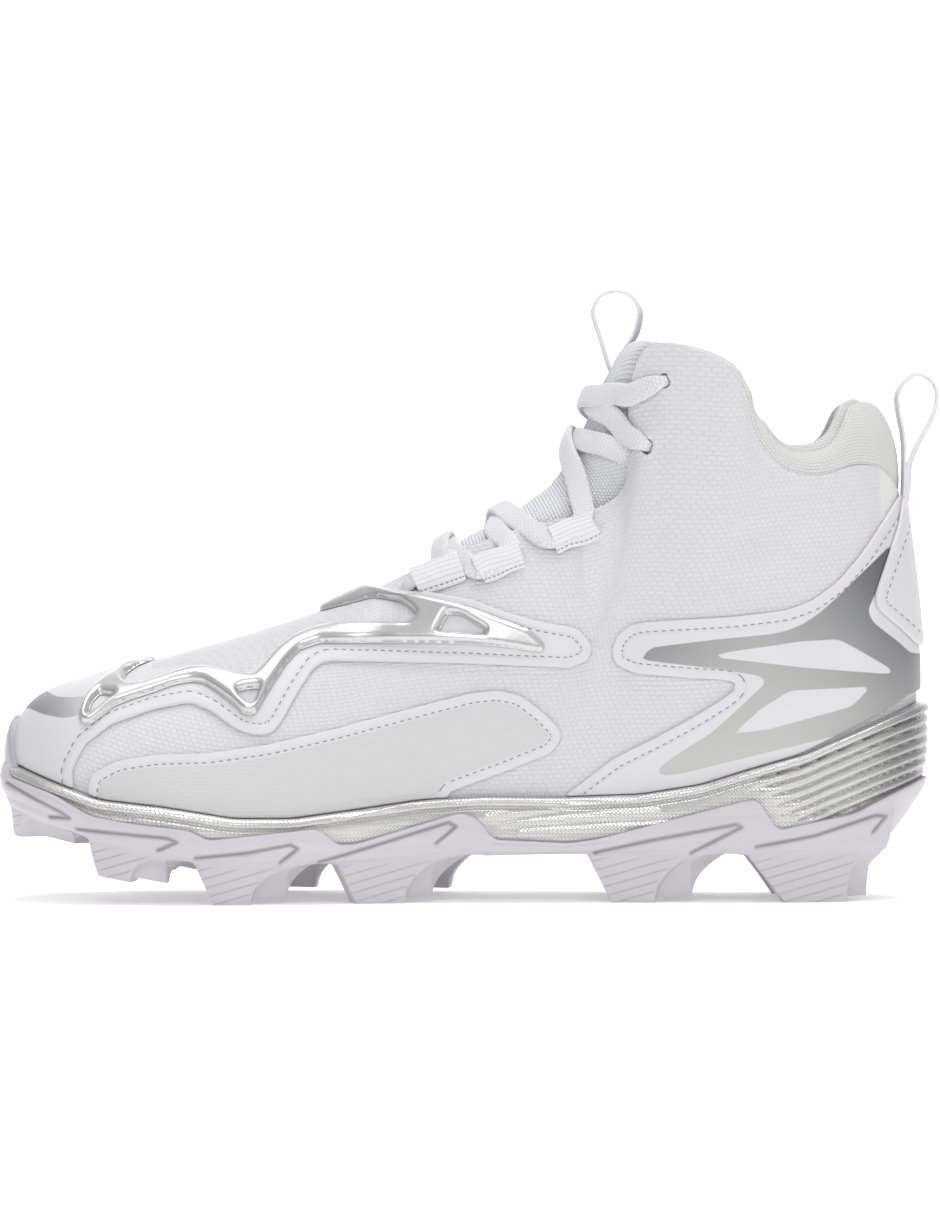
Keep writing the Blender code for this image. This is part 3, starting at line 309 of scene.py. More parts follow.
heelPull = {
    "line": ((140.4, 130.8), (140.4, 146.3), (138.6, 156.8), (139.0, 162.8), (144.4, 167.8), (149.6, 165.4),
             (151.2, 160.4), (149.4, 153.4), (145.0, 145.2), (142.4, 138.6), (142.0, 130.8)),
    "width": 8.0, "thick": 1.2, "count": 110, "twist": (2, 3, 3, 2, 8, 12, 6),
    # ends that go on under the heel tab
    "feet": ((139.4, 121.0), (140.7, 121.0)),
}
tonguePull = {
    "line": ((48.5, 165.5), (46.0, 170.3), (44.0, 176.8), (41.6, 184.1), (40.8, 187.3), (41.6, 190.6),
             (44.0, 193.4), (48.5, 194.6), (53.0, 193.1), (55.8, 188.9), (55.8, 185.4), (54.6, 180.9),
             (52.2, 176.8), (48.4, 170.8), (49.0, 165.5)),
    "width": 8.0, "thick": 1.2, "count": 110, "twist": (3, 3, 2, 3, 12, 10, 4),
    # ends that go on into the tongue
    "feet": ((49.5, 163.0), (50.0, 163.0)),
}

# the offset of the CAD frame from the drawing frame, read off the heel pull, whose line both share
cadPath, cadSide = ribbonLine(heelPull["line"], 18)
cadHalf = cadSide * heelPull["thick"] / 2
cadLow = np.concatenate([cadPath + cadHalf, cadPath - cadHalf]).min(0)
pullBox = np.array([list(corner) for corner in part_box("heel_pull")]) / mm
shift = np.array([pullBox[0, 0] - cadLow[0], pullBox[:, 1].mean(), pullBox[0, 2] - cadLow[1]])
print("frame offset mm", np.round(shift, 3))


# one mesh piece from triangles in mm: attributes are one number a point, uv one pair a corner, both in mm
def addPiece(name, points, triangles, node, slot, finish, attributes=None, uv=None, creaseAngle=60):
    a, b, c = (points[triangles[:, k]] for k in range(3))
    if np.sum(a * np.cross(b, c)) < 0:
        triangles = triangles[:, ::-1]
        uv = uv[:, ::-1] if uv is not None else None
    mesh = bpy.data.meshes.new(name)
    mesh.vertices.add(len(points))
    mesh.vertices.foreach_set("co", ((points + shift) * mm).ravel())
    mesh.loops.add(triangles.size)
    mesh.loops.foreach_set("vertex_index", np.ascontiguousarray(triangles).ravel())
    mesh.polygons.add(len(triangles))
    mesh.polygons.foreach_set("loop_start", np.arange(0, triangles.size, 3))
    mesh.update(calc_edges=True)
    for label, values in (attributes or {}).items():
        layer = mesh.attributes.new(label, "FLOAT", "POINT")
        layer.data.foreach_set("value", np.ascontiguousarray(values, np.float32))
    if uv is not None:
        layer = mesh.uv_layers.new(name="weave")
        layer.data.foreach_set("uv", np.ascontiguousarray(uv, np.float32).ravel())
    mesh.validate()
    mesh.shade_smooth()
    mesh.set_sharp_from_angle(angle=math.radians(creaseAngle))
    mesh.materials.append(finish)
    piece = bpy.data.objects.new(name, mesh)
    bpy.context.scene.collection.objects.link(piece)
    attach(piece, "root")
    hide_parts(*([node] if isinstance(node, str) else node))
    return piece


# a sheet raised by top along its normals, its twin at base, and a rounded edge between them:
# returns points, triangles, the sheet point behind each point, and behind each triangle corner
def shellMesh(points, normal, triangles, corners, top, base, roundness, turns=4):
    count = len(points)
    ends = triangles[:, [0, 1, 1, 2, 2, 0]].reshape(-1, 2)
    cornerEnds = corners[:, [0, 1, 1, 2, 2, 0]].reshape(-1, 2)
    keys, reverse = ends[:, 0] * count + ends[:, 1], ends[:, 1] * count + ends[:, 0]
    free = ~np.isin(keys, reverse)
    edges, edgeCorners = ends[free], cornerEnds[free]
    rim = np.unique(edges)
    place = np.full(count, -1)
    place[rim] = np.arange(len(rim))
    ahead, behind = points[rim].copy(), points[rim].copy()
    ahead[place[edges[:, 0]]] = points[edges[:, 1]]
    behind[place[edges[:, 1]]] = points[edges[:, 0]]
    outward = unit(np.cross(ahead - behind, normal[rim]))
    raised = points + normal * top[:, None]
    under = points + normal * base
    rings = []
    for angle in np.linspace(0, math.pi / 2, turns + 1)[1:]:
        level = base + (top[rim] - base) * math.cos(angle)
        rings.append(points[rim] + normal[rim] * level[:, None] + outward * roundness * math.sin(angle))
    source = np.concatenate([np.arange(count), np.arange(count), *([rim] * turns)])
    ringStart = 2 * count + np.arange(turns) * len(rim)
    lower = np.arange(count) + count
    lower[rim] = ringStart[-1] + np.arange(len(rim))
    parts, partCorners = [triangles, lower[triangles][:, ::-1]], [corners, corners[:, ::-1]]
    ca, cb = edgeCorners.T
    above = edges
    for start in ringStart:
        below = start + place[edges]
        (a, b), (c, d) = above.T, below.T
        parts += [np.stack([b, a, c], 1), np.stack([b, c, d], 1)]
        partCorners += [np.stack([cb, ca, ca], 1), np.stack([cb, ca, cb], 1)]
        above = below
    made, faces, used = dropUnused(np.concatenate([raised, under, *rings]), np.concatenate(parts))
    return made, faces, source[used], np.concatenate(partCorners)


# a piece that lies on the upper: the grid of places is cut at field = 0 and raised by top, with a rounded
# edge; moved may shift the grid's points first
def sheetOnUpper(q, v, fieldAt, topAt, base, roundness, seam=False, turns=4, moved=None):
    qq, vv = np.meshgrid(q, v, indexing="ij")
    field = fieldAt(qq, vv)
    inside = field > 0
    newQ, newV = slideToEdge(qq, vv, field)
    points, normal = surface(newQ, newV), surfaceNormal(newQ, newV)
    points = moved(points) if moved else points
    columns, rows = qq.shape
    index = np.arange(columns * rows).reshape(columns, rows)
    if v[-1] >= 1:
        closed = np.nonzero((rowOf(q) >= last["throat"]) & (q < tip))[0]
        twin = columns - 1 - closed
        index[twin, -1] = index[closed, -1]
        normal[closed, -1] = unit(normal[closed, -1] + normal[twin, -1])
        pole = np.nonzero(rowOf(q) >= tip - 3)[0]
        if len(pole):
            normal[pole, -1] = unit(normal[pole, -1].mean(0))
            index[pole, -1] = index[pole[0], -1]
    if seam:
        index[-1] = index[0]
    corners = gridTriangles(columns, rows)
    triangles = index.ravel()[corners]
    kept = inside.ravel()[corners].any(1) & isWhole(triangles)
    flat = points.reshape(-1, 3)
    top = topAt(newQ, newV, points).ravel()
    made = shellMesh(flat, normal.reshape(-1, 3), triangles[kept], corners[kept], top, base, roundness, turns)
    return made + (flat, newQ.ravel(), newV.ravel())


# arc lengths in mm along the loop and up the section, for weaves that follow the surface
def weavePlaces(q, v, samples=1200, steps=40, level=0.35):
    fine = np.linspace(0, 2 * tip, samples)
    along = lengthsAlong(surface(fine, np.full(samples, level)))
    rise = lengthsAlong(surface(np.mod(q, 2 * tip)[:, None], np.linspace(0, 1, steps + 1)[None, :]), 1)
    at = np.clip(v, 0, 1) * steps
    low = np.minimum(at.astype(int), steps - 1)
    pick = np.arange(len(q))
    height = rise[pick, low] + (rise[pick, low + 1] - rise[pick, low]) * (at - low)
    turn = np.floor_divide(q, 2 * tip) * along[-1]
    return np.stack([np.interp(np.mod(q, 2 * tip), fine, along) + turn, height], 1)


# sRGB hex to the linear colour that a shader takes
def linear(hexCode):
    parts = [int(hexCode[k:k + 2], 16) / 255 for k in (1, 3, 5)]
    return tuple(c / 12.92 if c <= 0.04045 else ((c + 0.055) / 1.055)**2.4 for c in parts) + (1.0,)


# one node with its settings; a link may be a node, one of its sockets, or a plain value
def addNode(tree, kind, settings, links):
    node = tree.nodes.new("ShaderNode" + kind)
    for name, value in settings.items():
        setattr(node, name, value)
    for socket, value in links.items():
        if isinstance(value, bpy.types.Node):
            value = value.outputs[0]
        if isinstance(value, bpy.types.NodeSocket):
            tree.links.new(value, node.inputs[socket])
        else:
            node.inputs[socket].default_value = value
    return node


# a new finish: its tree and shader, with the constants on the shader's own sockets
def newFinish(name, sockets):
    finish = bpy.data.materials.new(name)
    finish.use_nodes = True
    shader = finish.node_tree.nodes["Principled BSDF"]
    for socket, value in sockets.items():
        shader.inputs[socket].default_value = value
    return finish, finish.node_tree, shader


# a math node on one or two values
def calc(tree, operation, first, second=0.0):
    return addNode(tree, "Math", {"operation": operation}, {0: first, 1: second})


# a piece's own attribute
def attribute(tree, name):
    return addNode(tree, "Attribute", {"attribute_name": name}, {}).outputs["Fac"]


# soft noise with scale cells in each unit of place
def noise(tree, place, scale, detail):
    return addNode(tree, "TexNoise", {}, {"Vector": place, "Scale": scale, "Detail": detail}).outputs["Fac"]


# a value from low to high brought to between start and end, along an S curve if smooth
def spread(tree, value, low, high, end=1.0, start=0.0, smooth=False):
    return addNode(tree, "MapRange", {"interpolation_type": "SMOOTHSTEP" if smooth else "LINEAR"},
                   {"Value": value, "From Min": low, "From Max": high, "To Min": start, "To Max": end})


# colours blended between stops of place and hex code, the first at 0 and the last at 1
def colourRamp(tree, share, stops):
    node = addNode(tree, "ValToRGB", {}, {"Fac": share})
    elements = node.color_ramp.elements
    for place, hexCode in stops:
        stop = elements.new(place) if 0 < place < 1 else elements[-int(place)]
        stop.color = linear(hexCode)
    return node.outputs[0]


# one colour covered by another, by a share
def cover(tree, share, under, over):
    return addNode(tree, "Mix", {"data_type": "RGBA"}, {0: share, 6: under, 7: over}).outputs[2]


# relief distance metres high, or deep if sunk, on top of another one
def emboss(tree, height, distance, under=None, sunk=False):
    links = {"Height": height, "Distance": distance}
    if under is not None:
        links["Normal"] = under
    return addNode(tree, "Bump", {"invert": sunk}, links)


# a finish's colour and relief go to its shader
def dress(tree, shader, colour, relief):
    tree.links.new(colour, shader.inputs["Base Color"])
    tree.links.new(relief.outputs[0], shader.inputs["Normal"])


# 1 on the dashes of a seam that runs inset mm inside a piece's edge, from its edge and run attributes, and
# the height of a soft groove along it
def stitchMask(tree, inset, pitch, width=0.21, reach=1.1):
    apart = calc(tree, "ABSOLUTE", calc(tree, "SUBTRACT", attribute(tree, "edge"), inset))
    near = calc(tree, "LESS_THAN", apart, width)
    dash = calc(tree, "LESS_THAN", calc(tree, "MODULO", attribute(tree, "run"), pitch), pitch / 2)
    return calc(tree, "MULTIPLY", near, dash), spread(tree, apart, 0.0, reach, smooth=True)


# woven polyester, embossed with small bricks: each 2.2 by 1.55 mm cell is a low pillow with a soft joint,
# and the lining, raw edges and the strip up the heel, where the lining attribute is 1, are cream
def embossedPolyester():
    finish, tree, shader = newFinish("embossed_polyester", {"Roughness": 0.68, "Sheen Weight": 0.1})
    place = addNode(tree, "UVMap", {"uv_map": "weave"}, {})
    bricks = addNode(tree, "TexBrick", {"offset": 0.5},
                     {"Vector": place, "Color1": linear("#dad9dc"), "Color2": linear("#d8d7da"),
                      "Mortar": linear("#d2d1d5"), "Scale": 1.0, "Mortar Size": 0.5, "Mortar Smooth": 1.0,
                      "Brick Width": 2.2, "Row Height": 1.55})
    shade = cover(tree, attribute(tree, "lining"), bricks.outputs["Color"], linear("#e1e1de"))
    cell = emboss(tree, bricks.outputs["Fac"], 0.00013, sunk=True)
    dress(tree, shader, shade, emboss(tree, noise(tree, place, 1.6, 3.0), 0.0001, cell))
    return finish


# smooth synthetic leather: a satin sheet with a 0.7 mm pebble grain, dark stitch dashes that are painted
# shade of their holes, and a sunk seam
def smoothSynthetic(name, patches=()):
    finish, tree, shader = newFinish(name, {"Roughness": 0.5, "Coat Weight": 0.06, "Coat Roughness": 0.35})
    space = addNode(tree, "TexCoord", {}, {}).outputs["Object"]
    shade = colourRamp(tree, noise(tree, space, 40.0, 2.0), ((0, "#d3d2d5"), (1, "#dad9dc")))
    mask, groove = stitchMask(tree, 2.8, 2.5)
    grain = emboss(tree, noise(tree, space, 1400.0, 2.0), 0.00005)
    relief = emboss(tree, groove, 0.00025, grain)
    for patch in patches:
        shade, relief = patch(tree, shader, space, shade, relief)
    # painted shade: the stitch dashes are drawn dark as the shade in their holes
    dress(tree, shader, cover(tree, mask, shade, linear("#8c8c93")), relief)
    return finish


# a mask that is 1 where an attribute is above zero, with a 0.3 mm soft edge
def insideMask(tree, name):
    return spread(tree, attribute(tree, name), -0.15, 0.15)


# a metallic colour printed where a mask is 1
def metalPrint(tree, shader, mask, shade, colour):
    tree.links.new(calc(tree, "MULTIPLY", mask, 0.4).outputs[0], shader.inputs["Metallic"])
    return cover(tree, mask, shade, colour)


# metallic print on the heel counter, with painted shade and reflection graded by place: light on the lower
# arm, grey along the upper one, dark high at the back
def silverPrint(tree, shader, space, shade, relief):
    axes = addNode(tree, "SeparateXYZ", {}, {"Vector": space})
    back = spread(tree, axes.outputs["X"], 0.095, 0.14, 0.35)
    high = spread(tree, axes.outputs["Z"], 0.045, 0.112, 0.65)
    front = spread(tree, axes.outputs["X"], 0.088, 0.054, 0.25)
    upper = spread(tree, axes.outputs["Z"], 0.066, 0.074)
    # painted shade and reflection: the print's silver is real, its light and dark by place are painted
    paintedPrintShade = calc(tree, "ADD", calc(tree, "ADD", back, high), calc(tree, "MULTIPLY", front, upper))
    colour = colourRamp(tree, paintedPrintShade, ((0, "#bfbfbc"), (0.36, "#adadab"), (0.55, "#9b9b9c"), (0.75, "#818286"),
                                     (1, "#5f6064")))
    return metalPrint(tree, shader, insideMask(tree, "print"), shade, colour), relief


# metallic toe band, with painted shade and reflection: dark towards the tip of the toe and light towards the
# cage
def toeBand(tree, shader, space, shade, relief):
    axes = addNode(tree, "SeparateXYZ", {}, {"Vector": space})
    # painted shade and reflection along the band, by x
    along = spread(tree, axes.outputs["X"], -0.144, -0.118)
    colour = colourRamp(tree, along, ((0, "#838387"), (1, "#cdcdcf")))
    return metalPrint(tree, shader, insideMask(tree, "band"), shade, colour), relief


# fine woven mesh of the vamp's middle, a 1.3 mm checker of raised and sunk threads
def vampMesh(tree, shader, space, shade, relief):
    check = addNode(tree, "TexChecker", {}, {"Vector": space, "Scale": 770.0})
    height = calc(tree, "MULTIPLY", check.outputs["Fac"], insideMask(tree, "mesh"))
    tint = calc(tree, "MULTIPLY", height, 0.3)
    return cover(tree, tint, shade, linear("#bdbcc4")), emboss(tree, height, 0.0001, relief)


# grey inset of the side panel, ruled with fine level lines 1.2 mm apart
def ruledInset(tree, shader, space, shade, relief):
    mask = spread(tree, attribute(tree, "edge"), 3.3, 3.7)
    lines = addNode(tree, "TexWave", {"wave_type": "BANDS", "bands_direction": "Z"},
                    {"Vector": space, "Scale": 262.0, "Distortion": 0.0})
    height = calc(tree, "MULTIPLY", lines.outputs["Fac"], mask)
    return cover(tree, mask, shade, linear("#cbcbcc")), emboss(tree, height, 0.00004, relief)


# metallic coating: satin silver, smooth on the cage; on the foam a twill of 1.9 by 0.85 mm threads seen
# from the side, raised by weave metres with darker joints, and painted shade darkening it towards the back of
# the heel
def silverCoating(name, light, dark, roughness, weave, joint, back):
    finish, tree, shader = newFinish(name, {"Metallic": 0.7, "Roughness": roughness})
    space = addNode(tree, "TexCoord", {}, {}).outputs["Object"]
    shade = colourRamp(tree, noise(tree, space, 60.0, 3.0), ((0, dark), (1, light)))
    turned = addNode(tree, "Mapping", {},
                     {"Vector": space, "Rotation": (math.pi / 2, 0.0, math.radians(-42))})
    threads = addNode(tree, "TexBrick", {"offset": 0.5},
                      {"Vector": turned, "Scale": 1000.0, "Brick Width": 1.9, "Row Height": 0.85,
                       "Mortar Size": 0.2, "Mortar Smooth": 1.0})
    between = calc(tree, "MULTIPLY", threads.outputs["Fac"], joint)
    shade = cover(tree, between, shade, linear("#77777a"))
    # painted shade: the colour darkens towards the back of the heel, by the share back
    axes = addNode(tree, "SeparateXYZ", {}, {"Vector": space})
    shade = cover(tree, spread(tree, axes.outputs["X"], 0.12, 0.148, back), shade, linear("#6c6d71"))
    speckle = emboss(tree, noise(tree, space, 900.0, 2.0), 0.00003)
    dress(tree, shader, shade, emboss(tree, threads.outputs["Fac"], weave, speckle, True))
    return finish


# moulded rubber: satin lavender-white with a faint mould texture 0.5 mm coarse; engraved lines and the lip's
# top edge are darkened as painted shade, and the studs' front faces have fine sunk lines, one for each whole
# step of the ruled attribute, drawn a little darker as painted shade
def mouldedRubber():
    finish, tree, shader = newFinish("moulded_rubber", {"Roughness": 0.46, "Coat Weight": 0.12,
                                                        "Coat Roughness": 0.3})
    space = addNode(tree, "TexCoord", {}, {}).outputs["Object"]
    shade = colourRamp(tree, noise(tree, space, 30.0, 3.0), ((0, "#c2bfc5"), (1, "#cbc8ce")))
    # painted shade in the engraved lines and along the lip's top edge, from the groove attribute
    shade = cover(tree, attribute(tree, "groove"), shade, linear("#7b7684"))
    offset = calc(tree, "SUBTRACT", calc(tree, "FRACT", attribute(tree, "ruled")), 0.5)
    line = spread(tree, calc(tree, "ABSOLUTE", offset), 0.0, 0.13, 0.0, 1.0, True)
    ruled = calc(tree, "MULTIPLY", line, attribute(tree, "face"))
    # painted shade in the fine sunk lines of the studs' front faces
    shade = cover(tree, calc(tree, "MULTIPLY", ruled, 0.16), shade, linear("#8d8894"))
    grit = emboss(tree, noise(tree, space, 2000.0, 1.0), 0.00003)
    dress(tree, shader, shade, emboss(tree, ruled, 0.0002, grit, True))
    return finish


# knits, meshes, laces and tapes: small raised loops of a size in mm, matt with a soft sheen
def loopedFabric(name, light, joint, size, depth, offset=0.5, seam=False):
    finish, tree, shader = newFinish(name, {"Roughness": 0.88, "Sheen Weight": 0.3})
    place = addNode(tree, "UVMap", {"uv_map": "weave"}, {})
    loops = addNode(tree, "TexBrick", {"offset": offset},
                    {"Vector": place, "Color1": linear(light), "Color2": linear(light),
                     "Mortar": linear(joint), "Scale": 1.0, "Mortar Size": min(size) * 0.18,
                     "Mortar Smooth": 1.0, "Brick Width": size[0], "Row Height": size[1]})
    shade = loops.outputs["Color"]
    if seam:
        mask, _ = stitchMask(tree, 0.6, 1.5)
        # painted shade: the tape's stitch dashes are drawn dark as the shade in their holes
        shade = cover(tree, mask, shade, linear("#9a9aa0"))
    dress(tree, shader, shade, emboss(tree, loops.outputs["Fac"], depth, sunk=True))
    return finish


finishes = {
    "upper": embossedPolyester(),
    "vamp": smoothSynthetic("smooth_synthetic_vamp", (toeBand, vampMesh)),
    "panel": smoothSynthetic("smooth_synthetic_panel", (ruledInset,)),
    "counter": smoothSynthetic("smooth_synthetic_counter", (silverPrint,)),
    "tab": smoothSynthetic("smooth_synthetic_tab"),
    # the midsole's last number, 0.6, is how much painted shade darkens the back of its heel
    "midsole": silverCoating("silver_coated_foam", "#d9d9d7", "#cbcbc9", 0.25, 0.00008, 0.24, 0.6),
    "cage": silverCoating("silver_moulded_film", "#d8d8d7", "#c6c6c6", 0.3, 0.0, 0.0, 0.0),
    "outsole": mouldedRubber(),
    "knit": loopedFabric("padded_knit", "#dededc", "#d2d2d0", (1.5, 1.0), 0.0002),
    "mesh": loopedFabric("spacer_mesh", "#ecedf2", "#d3d5dd", (1.3, 1.1), 0.00026),
    "lace": loopedFabric("woven_lace", "#e3e2e7", "#d8d7dd", (1.7, 1.0), 0.00014),
    "tape": loopedFabric("woven_tape", "#e2e1e6", "#d8d7dd", (1.15, 80.0), 0.00013, 0.0, True),
}
print("finishes made")

# the sole's side-view lines (x, z)
sole = {
    "rim": ((-150, 46.5), (-142, 43.5), (-130, 38.8), (-114, 32.8), (-95, 30.6), (-73, 27.0), (-55, 26.9),
            (-36, 29.4), (-14, 32.5), (5, 33.5), (30, 33.2), (55, 34.1), (74, 37.2), (89, 42.0), (105, 46.8),
            (124, 56.0), (144, 66.5), (152, 70.0)),
    "lip": ((-150, 42.5), (-142, 40.5), (-127, 34.8), (-116, 28.0), (-105, 25.8), (-85, 23.3), (-81, 20.3),
            (-47, 23.9), (-42, 18.8), (-36, 18.8), (-2, 28.7), (4, 26.5), (8, 20.0), (33, 18.8), (43, 20.4),
            (89, 32.6), (93, 32.6), (97, 22.8), (121, 28.2), (144, 43.5), (152, 48.0)),
    "bed": ((-150, 35.5), (-143, 34.0), (-130, 29.5), (-110, 22.0), (-90, 17.5), (-70, 16.2), (-40, 17.0),
            (0, 19.0), (50, 19.5), (100, 19.5), (152, 21.0)),
    "plate": ((-150, 31.0), (-143, 29.5), (-130, 25.0), (-110, 18.0), (-90, 13.9), (-70, 12.4), (-40, 12.8),
              (0, 15.0), (30, 15.6), (50, 15.6), (86, 15.4), (110, 15.4), (130, 16.5), (152, 19.0)),
    "bulge": 4.0, "heelBulge": 1.5, "heelTuck": 7.0, "rimThick": 1.5, "lipThick": 1.3,
    "guardRise": 18.0, "guardSpan": 15.0,
}


# 0 along the shoe, rising to 1 at the back of the heel
def heelShare(x):
    return np.clip((x - 112.0) / 28.0, 0.0, 1.0)


# height of the outsole's bed, kept just under its lip where the lip runs low
def bedHeight(x):
    return np.minimum(lineHeight(sole["bed"], x), lineHeight(sole["lip"], x) - 1.0)


# point of the upper's wall at height z over place q, found by halving the range of v, or its base edge
# below that
def wallPoint(q, z):
    low, high = np.zeros(q.shape), np.full(q.shape, 0.75)
    for _ in range(16):
        middle = (low + high) / 2
        under = surface(q, middle)[..., 2] < z
        low, high = np.where(under, middle, low), np.where(under, high, middle)
    point = surface(q, np.where(high < 1e-4, 0.0, (low + high) / 2))
    point[..., 2] = z
    return point


# the sole's side at height z, moved out by extra: it stands out from the upper and tucks in under the lip,
# at the heel's back by heelTuck; hold takes that heel tuck away where a stud carries the wall down
def soleSide(q, z, extra, hold=0.0):
    q, z = np.broadcast_arrays(np.asarray(q, float), z)
    base, normal = basePoints(q)
    x = base[..., 0]
    low, high = bedHeight(x), lineHeight(sole["rim"], x)
    covered = lineHeight(sole["lip"], x, 30.0) - 1.0
    share = np.clip((high - z) / (high - low), 0, 1)
    under = np.clip((covered - z) / (covered - low), 0, 1)
    bulge = sole["bulge"] - sole["rimThick"] + sole["heelBulge"] * heelShare(x)
    stand = gap + sole["rimThick"] + bulge * np.sqrt(np.clip(share * 2.2, 0, 1))
    tuck = (1.0 + sole["heelTuck"] * heelShare(x) * (1 - hold)) * under**1.6
    point = wallPoint(q, z)
    point[..., :2] += normal * (stand - tuck + extra)[..., None]
    return point


# columns round the shoe for ring solids: places 0 to tip on the inner side, then their mirror
def ringPlaces(count):
    rows = evenPlaces(0, tip, count, 0.05)
    return np.concatenate([rows, (2 * tip - rows)[1:-1][::-1]])


# closed solid from rings[column, ring]: sides between the rings, the first and last closed across the shoe
def ringSolid(rings):
    columns, count = rings.shape[:2]
    c, r = np.meshgrid(np.arange(columns), np.arange(count - 1), indexing="ij")
    a, d = (c * count + r).ravel(), ((c + 1) % columns * count + r).ravel()
    triangles = [np.stack([a, a + 1, d + 1], 1), np.stack([a, d + 1, d], 1)]
    i = np.arange(columns // 2)
    quad = np.stack([i, i + 1, columns - i - 1, (columns - i) % columns], 1) * count
    halves = np.concatenate([quad[:, [0, 1, 2]], quad[:, [0, 2, 3]]])
    triangles += [halves, halves[:, ::-1] + count - 1]
    triangles = np.concatenate(triangles)
    return rings.reshape(-1, 3), triangles[isWhole(triangles)]


# the midsole: a silver cup with a bead on its rim, ribs round the heel and thin ribs along its side
midsole = {
    "columns": 420, "levels": 96, "bead": 3.2, "beadRise": 1.2, "beadGroove": 0.5,
    # heel ribs: each starts ribStep further back than the one above, and all fade by backShare over backFade
    "ribPitch": 3.5, "ribStart": 88.0, "ribStep": 3.0, "ribFade": 9.0, "ribRise": 0.85, "ribs": 6,
    "backFade": (130.0, 141.0), "backShare": 0.7,
    "archRibs": (((6.8, 27.3), (54.6, 32.7)), ((11.8, 24.8), (60.8, 28.9)), ((17.1, 22.3), (67.1, 25.2)),
                 ((-42.3, 25.8), (-18.0, 32.0))),
    "archRise": 0.4, "archWidth": 0.75,
    # distances inside the upper's base edge to which the cup's underside and its bed reach
    "floorIn": 9.0, "bedIn": 6.0,
}


# relief of the midsole's side: a half-round bead under the rim with a narrow trough below it, rounded ribs
# at the heel that start one after another and fade to its back, and soft ridges along the arch lines
def midsoleRelief(x, z):
    depth = lineHeight(sole["rim"], x) - z
    half = midsole["bead"] / 2
    bead = np.sqrt(np.clip(1 - ((depth - half) / half)**2, 0, 1))
    trough = np.exp(-((depth - midsole["bead"] - 0.3) / 0.5)**2)
    relief = midsole["beadRise"] * bead - midsole["beadGroove"] * trough
    phase = (depth - midsole["bead"] - 0.4) / midsole["ribPitch"]
    order = np.clip(np.floor(phase), 0, midsole["ribs"])
    start = midsole["ribStart"] + midsole["ribStep"] * order
    shown = ramp(x, start, start + midsole["ribFade"]) * (phase > 0) * (phase < midsole["ribs"])
    shown = shown * (1 - midsole["backShare"] * ramp(x, *midsole["backFade"]))
    relief += shown * midsole["ribRise"] * (np.abs(np.sin(np.pi * phase))**0.8 * 1.7 - 1)
    for line in midsole["archRibs"]:
        apart = lineDistance(np.array(line), x, z)[0]
        relief += midsole["archRise"] * np.exp(-(apart / midsole["archWidth"])**2)
    return relief


q = ringPlaces(midsole["columns"])
base, normal = basePoints(q)
x = base[:, 0]
low, high = bedHeight(x) + 1.5 * gap, lineHeight(sole["rim"], x)
share = np.linspace(0, 1, midsole["levels"])[None, :]
heights = low[:, None] + (high - low)[:, None] * share
xx = np.broadcast_to(x[:, None], heights.shape)
side = soleSide(q[:, None], heights, midsoleRelief(xx, heights))
bed = mirrored("baseZ", q) - gap
rimInner = wallPoint(q, high)
rimInner[:, :2] += normal * 1.4 * gap
lowInner = np.column_stack([base + normal * 1.4 * gap, bed])
floorReach = midsole["floorIn"] + sole["heelTuck"] * heelShare(x)
floorIn = np.column_stack([base - normal * floorReach[:, None], low])
bedIn = np.column_stack([base - normal * midsole["bedIn"], bed])
rings = np.concatenate([floorIn[:, None], side, rimInner[:, None], lowInner[:, None], bedIn[:, None]], 1)
addPiece("midsole_cup", *ringSolid(rings), "midsole", "silver_foam", finishes["midsole"])
print("midsole made")

